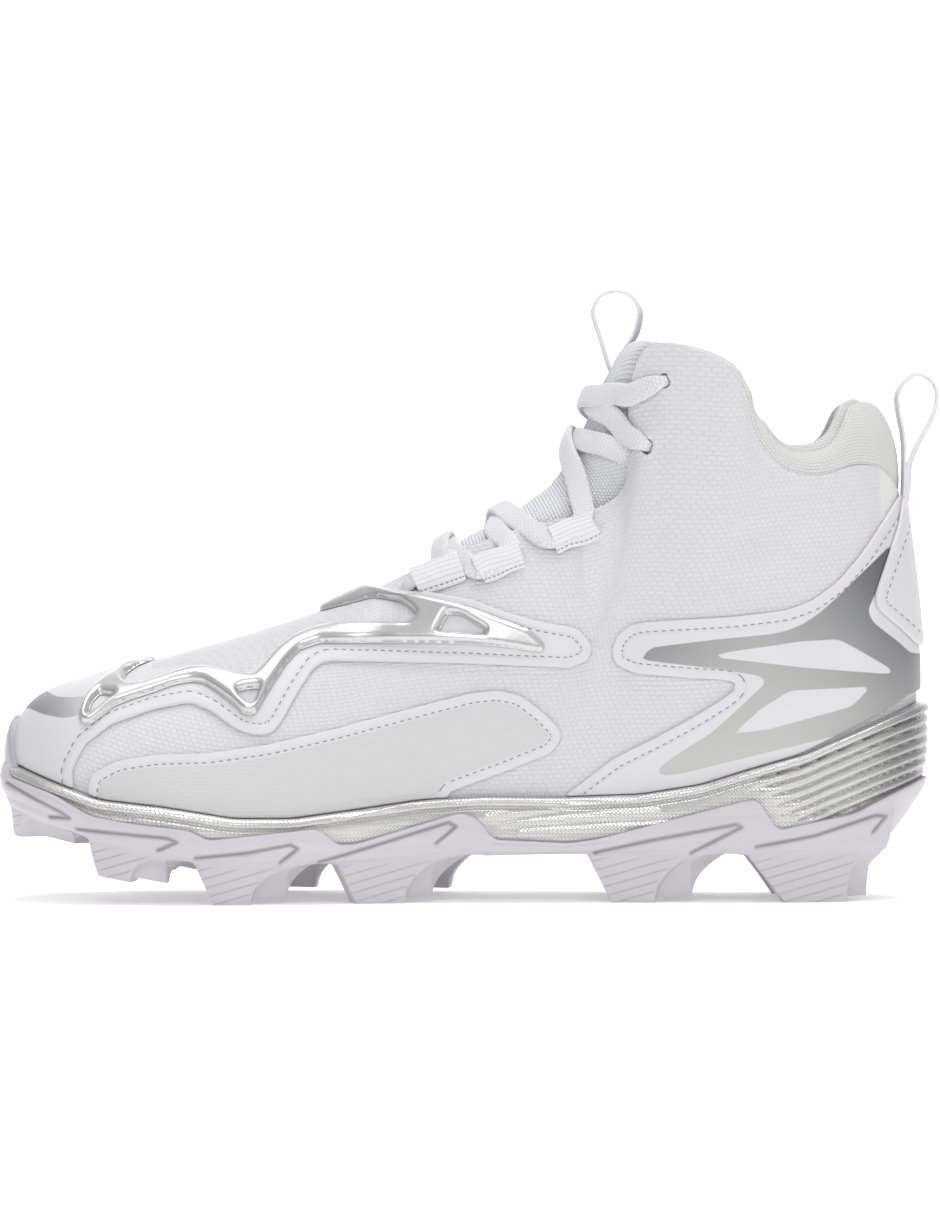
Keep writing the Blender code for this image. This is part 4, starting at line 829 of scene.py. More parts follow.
# the outsole: a wavy lip, a toe guard and twelve flared studs whose faces carry on from the wall
outsole = {
    "columns": 720, "wallRings": 30, "studRings": 26,
    "studColumns": ("name", "frontTip", "ridgeTip", "backTip", "frontZ", "backZ",
                    "frontRoot", "ridgeRoot", "backRoot", "back"),
    "studs": (
        ("toe", -144.0, -141.5, -127.0, 21.0, 17.0, -145.0, -137.0, -117.0, 7.0),
        ("front", -115.0, -105.0, -94.0, 9.0, 5.0, -119.5, -96.0, -84.0, 7.0),
        ("ball", -78.5, -67.0, -54.5, 0.0, 0.0, -86.0, -55.0, -41.0, 7.0),
        ("waist", -34.0, -19.0, -9.5, 0.0, 0.0, -41.0, -8.0, 6.0, 6.0),
        ("heelFront", 46.0, 59.5, 71.5, 0.0, 0.0, 37.0, 71.5, 86.0, 3.0),
        ("heelBack", 101.0, 120.5, 131.5, 0.0, 0.0, 87.0, 125.0, 135.5, 0.0),
    ),
    # engraved lines of the wall (x, z), one for each stud
    "grooves": {
        "toe": ((-141.8, 37.7), (-132, 32.5), (-125.2, 28.9), (-122.8, 27.1), (-129.3, 27.4)),
        "front": ((-121.1, 23.7), (-92.7, 21.1), (-89.9, 19.8), (-95.8, 17.3)),
        "ball": ((-84.2, 14.8), (-68.3, 16.4), (-55.2, 18.9), (-53, 17.6), (-58, 13.3)),
        "waist": ((-45.8, 13.3), (-5.8, 25.5), (-3.4, 24.2), (-9.5, 19)),
        "heelFront": ((40.8, 15.8), (59.9, 20), (85.2, 24.8), (86.8, 23.9), (71.2, 15.8)),
        "heelBack": ((91.5, 17.7), (110, 21.3), (127.5, 27.4), (130.4, 27.0), (127.3, 22.1)),
    },
    # how dark the painted shade is in the engraved lines, and along the lip's top edge
    "grooveDepth": 0.55, "grooveWidth": 0.6, "grooveShade": 0.85, "lipShade": 0.6,
    # fine lines on the studs' front faces: their distance apart and slope in degrees
    "ribPitch": 2.9, "ribSlope": 16.0,
    # behind its ridge a stud steps in by ridgeStep, then by turnIn for each mm, and lifts off by backLift
    "ridgeStep": 2.8, "turnIn": 0.3, "backLift": 1.6, "ridgeCurve": 1.9,
    # a face's lean in to the tip, a root's height over the plate, and the power of a back's scooped curve
    "taper": 1.0, "rootRise": 2.0, "scoop": 2.2,
    # the wall's depth below the plate, how far out from the base edge x is read, and the step in at a stud's
    # root with what a plain wall adds to it
    "skin": 0.4, "stand": 2.5, "footIn": (0.5, 0.9),
    # how far the wall stands out, by its share of the way down, where it is plain and where it carries a stud
    "wallShares": (0.0, 0.05, 0.4, 0.85, 1.0), "wallPlain": (1.3, 1.75, 1.9, 0.6, -1.4),
    "wallHeld": (1.3, 1.75, 1.9, 0.9, -0.5),
    # rings of a stud's tip, mm in from its outer edge, and of its inner face, with that face's lean
    "tipIn": (0.6, 4.0, 8.0), "faceRings": 4, "faceLean": 4.0,
    # rings inside the lip, mm out from the sole's side: at the bed, half-way, under the lip and at it
    "innerRings": (-2.0, -0.6, -0.4, -0.6), "guardThick": 1.3, "plateIn": 14.0, "bedIn": 9.0,
}


# side-view bottom of the wall on one side: the plate, with each stud hung from it; also the plate itself,
# and where the ridge of the stud here lies at its tip and at its root, far away where there is no stud
def studProfile(x, side):
    plate = lineHeight(sole["plate"], x)
    bottom = plate - outsole["skin"]
    ridgeTip, ridgeRoot = np.full(x.shape, 999.0), np.full(x.shape, 999.0)
    for row in outsole["studs"]:
        stud = dict(zip(outsole["studColumns"], row))
        setBack = np.where(side > 0, stud["back"], 0.0)
        place = x - setBack
        span = np.clip((place - stud["frontTip"]) / (stud["backTip"] - stud["frontTip"]), 0, 1)
        tipZ = stud["frontZ"] + (stud["backZ"] - stud["frontZ"]) * span
        front = np.clip((stud["frontTip"] - place) / (stud["frontTip"] - stud["frontRoot"]), 0, 1)
        back = np.clip((place - stud["backTip"]) / (stud["backRoot"] - stud["backTip"]), 0, 1)
        level = np.maximum(front, back**(1 / outsole["scoop"]))
        tipZ = tipZ + outsole["backLift"] * ramp(place - stud["ridgeTip"], 0, 1.2)
        here = tipZ + (plate + outsole["rootRise"] - tipZ) * level
        within = (place > stud["frontRoot"]) & (place < stud["backRoot"])
        bottom = np.where(within, np.minimum(bottom, here), bottom)
        ridgeTip = np.where(within, stud["ridgeTip"] + setBack, ridgeTip)
        ridgeRoot = np.where(within, stud["ridgeRoot"] + setBack, ridgeRoot)
    return bottom, plate, ridgeTip, ridgeRoot


# how far the outsole's lip rises over the lip line to guard the toe
def guardHeight(q):
    apart = np.linalg.norm(basePoints(q)[0] - basePoints(np.array([float(tip)]))[0][0], axis=1)
    share = np.clip(1 - apart / sole["guardSpan"], 0, 1)
    return sole["guardRise"] * share**2 * (3 - 2 * share)


# depth of the engraved lines at (x, z): a round-bottomed trough along each, set back on the outer side
def grooveDepth(x, z, side):
    depth = np.zeros(x.shape)
    for row in outsole["studs"]:
        stud = dict(zip(outsole["studColumns"], row))
        line = np.array(outsole["grooves"][stud["name"]])
        for way, back in ((-1, 0.0), (1, stud["back"])):
            near = (np.sign(side) == way) & (np.abs(x - line[:, 0].mean() - back) < 45)
            apart = lineDistance(line + (back, 0.0), x[near], z[near])[0]
            depth[near] = np.maximum(depth[near], np.exp(-(apart / outsole["grooveWidth"])**2))
    return depth


q = ringPlaces(outsole["columns"])
base, normal = basePoints(q)
x = base[:, 0] + normal[:, 0] * outsole["stand"]
side = sideOf(q)
lip = lineHeight(sole["lip"], base[:, 0]) + guardHeight(q)
bed = bedHeight(base[:, 0])
bottom, plate, ridgeTip, ridgeRoot = studProfile(x, side)
carried = ramp(plate - bottom, 1.0, 6.0)
deep = sole["heelTuck"] * heelShare(base[:, 0])

# wall from the lip to the plate, its profile easing out below the lip and in towards the plate
share = np.linspace(0, 1, outsole["wallRings"])[None, :]
heights = lip[:, None] + (plate - lip)[:, None] * share
plain, held = (np.interp(share, outsole["wallShares"], outsole[key]) for key in ("wallPlain", "wallHeld"))
extra = plain + (held - plain) * carried[:, None]
xx = np.broadcast_to(x[:, None], heights.shape)
sides = np.broadcast_to(side[:, None], heights.shape)
wallGroove = grooveDepth(xx, heights, sides)
wallSide = soleSide(q[:, None], heights, extra - outsole["grooveDepth"] * wallGroove, carried[:, None])

# stud faces from the plate down, stepping in at the ridge and turning in behind it
share = np.linspace(0, 1, outsole["studRings"])[None, 1:]
heights = plate[:, None] + (bottom - plate)[:, None] * share
xx = np.broadcast_to(x[:, None], heights.shape)
sides = np.broadcast_to(side[:, None], heights.shape)
stepIn, plainIn = outsole["footIn"]
foot = soleSide(q, plate, -stepIn - plainIn * (1 - carried), carried)
level = 1 - share
ridge = ridgeTip[:, None] + (ridgeRoot - ridgeTip)[:, None] * level**outsole["ridgeCurve"]
past = np.clip(xx - ridge, 0, 14)
turned = (outsole["ridgeStep"] * ramp(past, 0, 1.1) + outsole["turnIn"] * past) * (1 - ramp(level, 0.6, 1.0))
studGroove = grooveDepth(xx, heights, sides)
inset = share * outsole["taper"] + turned + outsole["grooveDepth"] * studGroove
studSide = np.repeat(foot[:, None], heights.shape[1], 1)
studSide[..., :2] -= normal[:, None] * inset[..., None]
studSide[..., 2] = heights

# tips, inner faces and the plate
out = np.column_stack([normal, np.zeros(len(q))])[:, None]
tips = studSide[:, -1:] - out * np.array(outsole["tipIn"])[None, :, None]
rise = np.linspace(0, 1, outsole["faceRings"] + 1)[None, 1:]
innerFace = tips[:, -1:] - out * (rise * outsole["faceLean"])[..., None]
innerFace[..., 2] = bottom[:, None] + (plate - bottom)[:, None] * rise
plateIn = np.column_stack([base - normal * (outsole["plateIn"] + deep * 0.7)[:, None], plate])
bedIn = np.column_stack([base - normal * (outsole["bedIn"] + deep)[:, None], bed])
edge = np.minimum(bed + 0.8 * (lip - bed), lineHeight(sole["rim"], base[:, 0]))
guard = outsole["guardThick"] * ramp(guardHeight(q), 1, 6)
*lower, atLip = outsole["innerRings"]
inside = [bedIn] + [soleSide(q, level, stand) for level, stand in zip((bed, (bed + edge) / 2, edge), lower)]
inside.append(soleSide(q, lip, atLip - guard))
rings = np.concatenate([np.stack(inside, 1), wallSide, studSide, tips, innerFace, plateIn[:, None]], 1)

# attributes: depth in an engraved line, which also sets its painted shade, with a painted shade line along
# the lip's top edge; count of the fine lines; and 1 on the studs' front faces
first = len(inside)
start = first + wallGroove.shape[1]
stop = start + studGroove.shape[1]
groove = np.zeros(rings.shape[:2])
groove[:, first:start] = wallGroove
groove[:, start:stop] = studGroove
# a painted shade line along the lip's top edge, where it meets the midsole
groove[:, first] = np.maximum(groove[:, first], outsole["lipShade"])
slope = math.radians(outsole["ribSlope"])
ruled = (rings[..., 2] * math.cos(slope) - rings[..., 0] * math.sin(slope)) / outsole["ribPitch"]
face = np.zeros(rings.shape[:2])
face[:, start:stop] = carried[:, None] * ramp(share, 0.0, 0.2) * (1 - ramp(xx - ridge, -1.5, 0.0))
addPiece("studded_outsole", *ringSolid(rings), "outsole", "white_rubber", finishes["outsole"],
         {"groove": groove.ravel() * outsole["grooveShade"], "ruled": ruled.ravel(), "face": face.ravel()},
         creaseAngle=45)
print("outsole made")

# the insole, a soft sheet with a shallow heel cup
insole = {"columns": 160, "thick": 4.0, "cup": 1.6, "cupFrom": (40.0, 120.0)}
q = ringPlaces(insole["columns"])
base, normal = basePoints(q)
low = mirrored("baseZ", q)
edge, top = wall + 2 * gap, insole["thick"]
cup = insole["cup"] * ramp(base[:, 0], *insole["cupFrom"])
# columns: distance inside the upper's base edge, height, share of the cup's lift
profile = ((8.0, gap, 0.0), (edge + 0.6, gap, 0.0), (edge, 1.2, 0.0), (edge, top - 1.0, 1.0),
           (edge + 0.5, top - 0.2, 1.0), (edge + 1.4, top, 1.0), (edge + 4.0, top - 0.2, 0.6),
           (9.0, top - 0.6, 0.2), (14.0, top - 0.8, 0.0))
rings = np.stack([np.column_stack([base - normal * depth, low + rise + cup * lift])
                  for depth, rise, lift in profile], 1)
points, triangles = ringSolid(rings)
piece = addPiece("sockliner", points, triangles, "insole", "knit", finishes["knit"],
                 uv=points[triangles][..., :2])
print("insole made")

# side-view places of the lacing, from the top down, with the row where each run leaves the throat's edge
lacing = {
    "eyelets": ((63.0, 165.3, 12.0), (57.4, 144.5, 13.3)),
    "loops": ((34.5, 116.5, 15.3), (11.0, 107.0, 16.6), (-8.0, 103.0, 17.6)),
    "eyeletRadius": 2.5, "width": 7.4, "thick": 2.4, "tape": 0.9,
    # a loop's tape: its length along the throat, its slope in degrees, and its way down from the throat (x,
    # z)
    "loopLength": 14.5, "loopSlope": 20.0, "loopDown": (3.6, -7.6),
    # height of the tape over the upper, from its fold at the throat to its sewn edge
    "loopHeights": (1.7, 2.9, 3.4, 3.5, 3.4, 3.2, 2.8, 2.0, 1.3),
    # share of the way to its crossing that a run has gone at the throat's edge
    "slant": 0.4,
    # rows ahead of a loop at which a run that enters it crosses the edge
    "lead": 0.7,
    # row of the tongue where each pair of runs crosses, from the top down, and the lowest bar's
    "crossings": (12.3, 13.4, 16.2, 17.4, 18.0),
}

# side-view maps of each side of the upper, for finding a place from its (x, z)
sideMaps = {}
for way in (-1, 1):
    rows, shares = np.linspace(0.3, tip - 0.3, 260), np.linspace(0.02, 0.995, 120)
    qq, vv = np.meshgrid(rows if way < 0 else 2 * tip - rows, shares, indexing="ij")
    sideMaps[way] = (qq, vv, surface(qq, vv))


# the (q, v) of the upper's surface nearest to side-view (x, z) on one side
def placeOnSide(x, z, way):
    qq, vv, seen = sideMaps[way]
    miss = (seen[..., 0] - x)**2 + (seen[..., 2] - z)**2
    best = np.unravel_index(np.argmin(miss), miss.shape)
    return qq[best], vv[best]


# the upper: one hollow sheet of embossed cloth with punched eyelets
upperCloth = {
    "heights": 104,
    # columns: first row, last row and number of places for each stretch
    "stretches": ((0, 9.8, 56), (9.8, 14.4, 76), (14.4, tip, 84)),
    # soft troughs: side-view centre, half length, half width, turn in degrees, depth in mm
    "creases": ((98, 118, 20, 5, 25, 0.6), (80, 106, 24, 6, 35, 0.6), (106, 104, 16, 5, 15, 0.5)),
    # place (x, z), reach across and up, and averaging passes that ease the fold below the flap's front edge
    "eased": (49.0, 115.0, 15.0, 22.0), "passes": 220,
}
eyeletCentres = []
for way in (-1, 1):
    for ex, ez, _ in lacing["eyelets"]:
        eq, ev = placeOnSide(ex, ez, way)
        eyeletCentres.append(surface(eq, ev))


# distance outside the nearest eyelet's rim
def upperField(q, v):
    points = surface(q, v)
    apart = np.min([np.linalg.norm(points - centre, axis=-1) for centre in eyeletCentres], axis=0)
    return apart - lacing["eyeletRadius"]


# soft troughs: each a Gaussian valley across its line that fades along it, with a low ridge beside it
def creaseRelief(points, creases):
    relief = np.zeros(points.shape[:-1])
    for cx, cz, length, width, turn, depth in creases:
        dx, dz = points[..., 0] - cx, points[..., 2] - cz
        c, s = math.cos(math.radians(turn)), math.sin(math.radians(turn))
        along, across = (dx * c + dz * s) / length, (dz * c - dx * s) / width
        relief += depth * np.exp(-along**2) * (0.55 * np.exp(-(across - 1.6)**2) - np.exp(-across**2))
    return relief


# a grid of points moved towards the average of its neighbours near the eased place, fading away from it
def easedPoints(points):
    smooth = points.copy()
    for _ in range(upperCloth["passes"]):
        smooth[1:-1, 1:-1] = (smooth[:-2, 1:-1] + smooth[2:, 1:-1] + smooth[1:-1, :-2] + smooth[1:-1, 2:]) / 4
    x, z, reach, rise = upperCloth["eased"]
    near = np.exp(-((points[..., 0] - x) / reach)**2 - ((points[..., 2] - z) / rise)**2)
    return points + (smooth - points) * near[..., None]


rows = np.concatenate([[0.0]] + [evenPlaces(*stretch)[1:] for stretch in upperCloth["stretches"]])
made = sheetOnUpper(bothSides(rows), np.linspace(0, 1, upperCloth["heights"]), upperField,
                    lambda q, v, points: creaseRelief(points, upperCloth["creases"]), -wall, 0.0, True, 2,
                    easedPoints)
points, triangles, source, corners, flat, sheetQ, sheetV = made
sunk = np.linalg.norm(points - flat[source], axis=1)
row, share = rowOf(sheetQ)[source], sheetV[source]
notch = ramp(share, 0.982, 0.99) * ramp(row, 12.9, 13.3) * (1 - ramp(row, 15.2, 15.8))
strip = ramp(points[:, 0], 131.0, 132.4) * ramp(points[:, 2], 116.0, 117.5)
addPiece("embossed_upper", points, triangles, "upper", "white_textile", finishes["upper"],
         {"lining": np.maximum.reduce([ramp(sunk, 0.9, 1.6), notch, strip])},
         uv=weavePlaces(sheetQ, sheetV)[corners])
print("upper made")

# sewn overlays, cut by side-view outlines (x, z)
overlays = {
    # a welt of half width weltHalf round weltCentre, mm in from the edge; rimGap is kept free over the
    # midsole
    "thick": 1.0, "welt": 0.12, "weltCentre": 1.5, "weltHalf": 1.6, "rounding": 0.35, "rimGap": 0.6,
    "vamp": ((-160, 30), (-122, 30), (-123.5, 42), (-119.5, 50), (-111, 56.5), (-98, 61), (-86.5, 63.2),
             (-80, 60.6), (-71.5, 54.6), (-66, 53.0), (-61, 53.4), (-58, 57), (-52.5, 67), (-47.5, 74.4),
             (-43.5, 76.2), (0, 75.6), (33, 74.2), (38.5, 76.5), (39.8, 80.5), (35.5, 86.0), (23, 88.2),
             (13, 91.0), (2.4, 94.8), (-11, 97.2), (-20, 97.4), (-28, 98.6), (-33, 112), (-160, 112)),
    "panel": ((-118, 33.2), (-116.8, 40.5), (-109, 44.5), (-97, 46.4), (-80, 46.9), (-62, 49.5), (-40, 54.6),
              (-12, 62.2), (2, 65.8), (10, 66.6), (17, 65.2), (24, 60), (29, 55), (30.2, 52), (27, 47.5),
              (12, 41.5), (-6, 35.0), (-6, 20), (-118, 20)),
    "counter": ((27, 30), (47, 45.3), (60, 51.8), (72, 58.4), (81.0, 64.0), (84.6, 66.6), (85.8, 68.4),
                (84.8, 70.0), (81.0, 70.6), (70, 71.2), (53, 72.6), (47.4, 75.2), (46.3, 79.0), (48.0, 83.6),
                (51.5, 86.8), (56.5, 88.0), (85, 89.8), (101, 91.8), (109.5, 95), (117.5, 101), (125, 109.5),
                (132, 119.5), (138.5, 129), (160, 129), (160, 30)),
    "tab": ((138.0, 128), (136.6, 119), (132.5, 107.5), (128.4, 96.2), (129.4, 92.5), (136.5, 86.8),
            (142.6, 81.2), (160, 81), (160, 128)),
    "toeBand": ((-118, 64.4), (-124, 63.6), (-129, 63.7), (-134, 66), (-165, 66), (-165, 60.2), (-137, 60.2),
                (-133, 58.6), (-126, 57.4), (-121, 58.2)),
    "vampMesh": ((-99, 72), (-88, 74), (-73, 69), (-61, 77), (-52, 85), (-40, 87), (-15, 87), (-13, 91),
                 (-19, 96), (-30, 97), (-36, 112), (-103, 112)),
    "print": ((55.6, 77.2), (58.9, 80.4), (78.3, 82.9), (95.1, 84.5), (100.4, 85.5), (105.8, 87.7),
              (111.1, 91.3), (117.2, 96.7), (123.3, 102.7), (128.6, 107.7), (134.2, 113.0), (133.3, 107.3),
              (131.7, 102.4), (128.6, 97.0), (126.2, 92.0), (127.9, 88.3), (136.2, 82.2), (140.4, 78.4),
              (165, 78.0), (165, 66.0), (141, 66.0), (134.9, 62.0), (125.0, 56.6), (117.5, 53.1),
              (105.0, 50.0), (93.2, 47.1), (80.0, 43.8), (69.0, 41.0), (61.4, 40.0), (60.3, 42.2),
              (67.0, 47.1), (77.3, 53.6), (83.0, 58.6), (94.6, 69.6), (92.6, 71.6), (76.8, 74.0),
              (56.2, 76.4)),
    "printWindows": (((79.0, 77.3), (79.2, 78.5), (105.8, 82.4), (117.0, 83.0), (124.8, 78.8), (134.7, 73.0),
                      (133.6, 71.9), (105.8, 74.2)),
                     ((84.3, 53.4), (92.8, 61.2), (102.0, 67.0), (127.3, 68.1), (121.5, 62.0), (95.1, 54.8))),
}
vampEdge, panelEdge, counterEdge, tabEdge, bandEdge, meshEdge, printEdge = (
    roundedOutline(overlays[key])
    for key in ("vamp", "panel", "counter", "tab", "toeBand", "vampMesh", "print"))
printWindows = [roundedOutline(window) for window in overlays["printWindows"]]


# distance inside an outline with its windows cut out
def windowedField(outline, windows, x, z):
    field = outlineField(outline, x, z)[0]
    for window in windows:
        field = np.minimum(field, -outlineField(window, x, z)[0])
    return field


# places across the heel's back, from the outer side to the inner one
def acrossHeel(rows):
    return np.concatenate([-rows[::-1], rows[1:]])


# distance inside an outline, cut where the midsole's rim covers the upper
def aboveRim(outline, q, v):
    points = surface(q, v)
    field, _ = outlineField(outline, points[..., 0], points[..., 2])
    return np.minimum(field, points[..., 2] - lineHeight(sole["rim"], points[..., 0]) - overlays["rimGap"])


# one overlay: a rounded welt 3 mm wide along its edge, then a flat field; marks adds attributes from (x, z)
def addOverlay(name, node, finish, q, v, outline, level, marks=None):
    kept = {}

    def topAt(qq, vv, points):
        kept["edge"], kept["run"] = outlineField(outline, points[..., 0], points[..., 2])
        across = (kept["edge"] - overlays["weltCentre"]) / overlays["weltHalf"]
        welt = np.sqrt(np.clip(1 - across**2, 0, 1))
        return level + overlays["thick"] + overlays["welt"] * welt

    def fieldAt(qq, vv):
        return aboveRim(outline, qq, vv)

    made = sheetOnUpper(q, v, fieldAt, topAt, level, overlays["rounding"])
    points, triangles, source, corners, flat, sheetQ, sheetV = made
    fx, fz = flat[:, 0], flat[:, 2]
    attributes = {"edge": kept["edge"].ravel()[source], "run": kept["run"].ravel()[source]}
    for label, mark in (marks or {}).items():
        attributes[label] = mark(fx, fz)[source]
    addPiece(name, points, triangles, node, "white_synthetic", finish, attributes,
             uv=weavePlaces(sheetQ, sheetV)[corners])


addOverlay("vamp_overlay_sheet", "vamp_overlay", finishes["vamp"], bothSides(evenPlaces(12.5, tip, 170)),
           np.linspace(0, 1, 92), vampEdge, gap,
           {"band": lambda x, z: outlineField(bandEdge, x, z)[0],
            "mesh": lambda x, z: outlineField(meshEdge, x, z)[0]})
lowShares = np.linspace(0, 0.62, 60)
innerRows = evenPlaces(13.5, 24.5, 170)
addOverlay("panel_inner_sheet", "forefoot_panel_inner", finishes["panel"], innerRows,
           lowShares, panelEdge, gap)
addOverlay("panel_outer_sheet", "forefoot_panel_outer", finishes["panel"], (2 * tip - innerRows)[::-1],
           lowShares, panelEdge, gap)
addOverlay("heel_counter_sheet", "heel_counter", finishes["counter"], acrossHeel(evenPlaces(0, 13.5, 150)),
           np.linspace(0, 0.999, 92), counterEdge, gap,
           {"print": lambda x, z: windowedField(printEdge, printWindows, x, z)})
addOverlay("heel_tab_sheet", "heel_tab", finishes["tab"], acrossHeel(evenPlaces(0, 2.6, 26)),
           np.linspace(0.4, 0.999, 70), tabEdge, 2 * gap + overlays["thick"])
print("overlays made")

# the silver cage: rounded bars over the vamp
cage = {
    "outline": ((-121.0, 58.7), (-120.0, 55.8), (-117.6, 55.4), (-109.9, 61.2), (-104.7, 63.2),
                (-98.3, 65.2), (-91.3, 67.7), (-86.1, 68.6), (-82.4, 68.2), (-78, 65.6), (-73.4, 62.4),
                (-69.6, 58.8), (-66.0, 58.8), (-63.3, 63.6), (-60, 68.9), (-56.2, 74.6), (-52.3, 78.6),
                (-46, 80.8), (-20, 81.2), (0, 81.4), (12, 80.5), (24, 78.8), (25, 81.0), (20, 85.5),
                (6, 90.7), (-4.3, 94.0), (-14.8, 96.0), (-22, 96.2), (-30, 98.0), (-36, 110), (-58, 110),
                (-46, 90.5), (-29, 95.2), (-19.5, 94.0), (-14.6, 90.0), (-17.0, 87.2), (-40, 86.6),
                (-49, 84.6), (-54.2, 82.2), (-59.4, 78.3), (-63.3, 73.8), (-66.6, 70.4), (-70, 70.4),
                (-75.3, 71.5), (-83, 72.9), (-88, 72.2), (-94.5, 70.0), (-100.8, 67.8), (-106, 67.2),
                (-108.4, 68.4), (-107.2, 70.8), (-104, 73.0), (-98, 75.4), (-92, 86), (-102, 86),
                (-104.5, 75.2), (-111.1, 71.0), (-114.9, 68.3), (-118.1, 65.2), (-120.2, 61.9)),
    "windows": (((-118.6, 57.9), (-117.4, 62.0), (-114.9, 64.6), (-110.2, 64.0), (-114.9, 60.6)),
                ((-71.6, 65.6), (-69, 66.4), (-64.5, 66.8), (-66.4, 61.8), (-67.8, 61.8), (-70.9, 64.2)),
                ((-8.3, 84.6), (-5.2, 90.3), (-1.5, 90.2), (6.6, 85.6), (5.6, 84.0))),
    "rise": 2.1, "edge": 0.3, "shoulder": 2.0, "taper": (0.0, 24.0), "taperShare": 0.6,
}
cageEdge = roundedOutline(cage["outline"], 0.5, 6)
cageWindows = [roundedOutline(window, 0.4, 4) for window in cage["windows"]]
cageLevel = 2 * gap + overlays["thick"]


# distance inside the cage's bars
def cageField(points):
    return windowedField(cageEdge, cageWindows, points[..., 0], points[..., 2])


# quarter-round shoulders: rise times the circle's height at the distance from the bar's edge, lower towards
# the point at the back
def cageTop(q, v, points):
    inside = np.clip(cageField(points) / cage["shoulder"], 0, 1)
    taper = 1 - cage["taperShare"] * ramp(points[..., 0], *cage["taper"])
    return cageLevel + cage["edge"] + cage["rise"] * taper * np.sqrt(1 - (1 - inside)**2)


made = sheetOnUpper(bothSides(evenPlaces(14.0, 25.6, 260)), np.linspace(0.38, 1, 120),
                    lambda q, v: cageField(surface(q, v)), cageTop, cageLevel, 0.3)
addPiece("forefoot_cage_bars", made[0], made[1], "forefoot_cage", "silver_cage", finishes["cage"])
print("cage made")

# the tongue: an arch over the throat with legs that follow the upper's inside
tongue = {
    "line": ((18.0, -13.0, 107.0), (17.0, 0.0, 115.5), (16.0, 15.5, 123.5), (15.0, 27.0, 132.0),
             (14.0, 33.0, 140.0), (13.0, 38.0, 151.0), (12.0, 42.5, 162.5), (11.0, 49.0, 174.0),
             (10.6, 52.5, 179.0)),
    "foot": (-19.0, -20.5), "leg": 0.12, "thick": 4.5, "lowRow": 17.4, "topRow": 10.6, "pillow": 5.0,
}


# a point of the tongue, sunk by sink: for |t| up to 1 a cosine arch from one throat edge over the middle to
# the other, and beyond that a leg down the upper's inside; rows past lowRow slide forward and down into the
# vamp
def tonguePoint(row, t, sink):
    line = np.array(tongue["line"])[::-1]
    foot = np.clip(row - tongue["lowRow"], 0, 1)
    row = np.minimum(row, tongue["lowRow"])
    depth = (wall + 5 * gap + sink)[..., None]
    one = np.ones(row.shape)
    inner = surface(row, one) - surfaceNormal(row, one) * depth
    outer = surface(2 * tip - row, one) - surfaceNormal(2 * tip - row, one) * depth
    edge = (inner + outer) / 2
    midX, midZ = (np.interp(row, line[:, 0], line[:, k]) for k in (1, 2))
    centre = np.stack([midX, edge[..., 1], midZ], -1)
    top = centre - unit(centre - edge) * sink[..., None]
    left = (t < 0)[..., None]
    start = np.where(left, inner, outer)
    lift = np.cos(np.clip(t, -1, 1) * np.pi / 2)
    spread = np.abs(np.sin(np.clip(t, -1, 1) * np.pi / 2))
    arch = top + (start - top) * np.stack([1 - lift, spread, 1 - lift], -1)
    share = 1 - tongue["leg"] * np.clip(np.abs(t) - 1, 0, 1)
    place = np.where(t < 0, row, 2 * tip - row)
    leg = surface(place, share) - surfaceNormal(place, share) * depth
    point = np.where((np.abs(t) <= 1)[..., None], arch, leg)
    point[..., 0] += tongue["foot"][0] * foot
    point[..., 2] += tongue["foot"][1] * foot
    return point


# two sheets that part from a shared edge, their spread a quarter circle over the pillow's width
lowRow = tongue["lowRow"]
rows = np.concatenate([np.linspace(lowRow + 1, lowRow, 14)[:-1], np.linspace(lowRow, tongue["topRow"], 110)])
across = np.concatenate([np.linspace(-2, -1, 12)[:-1], np.linspace(-1, 1, 64), np.linspace(1, 2, 12)[1:]])
rr, tt = np.meshgrid(rows, across, indexing="ij")
middle = tonguePoint(rr, tt, np.full(rr.shape, tongue["thick"] / 2))
spanRow, spanT = lengthsAlong(middle), lengthsAlong(middle, 1)
border = np.minimum(np.minimum(spanRow, spanRow[-1:] - spanRow), np.minimum(spanT, spanT[:, -1:] - spanT))
puff = np.sqrt(1 - (1 - np.clip(border / tongue["pillow"], 0, 1))**2) * tongue["thick"] / 2
front = tonguePoint(rr, tt, tongue["thick"] / 2 - puff)
back = tonguePoint(rr, tt, tongue["thick"] / 2 + puff)
count = rr.size
points = np.concatenate([front.reshape(-1, 3), back.reshape(-1, 3)])
index = np.arange(count) + count
index[border.ravel() <= 1e-9] -= count
sheet = gridTriangles(*rr.shape)
triangles = np.concatenate([sheet, index[sheet][:, ::-1]])
corners = np.concatenate([sheet, sheet[:, ::-1]])
weave = np.stack([spanT.ravel(), spanRow.ravel()], 1)
points, triangles, _ = dropUnused(points, triangles)
piece = addPiece("mesh_tongue", points, triangles, "tongue", "knit", finishes["mesh"], uv=weave[corners])
print("tongue made")

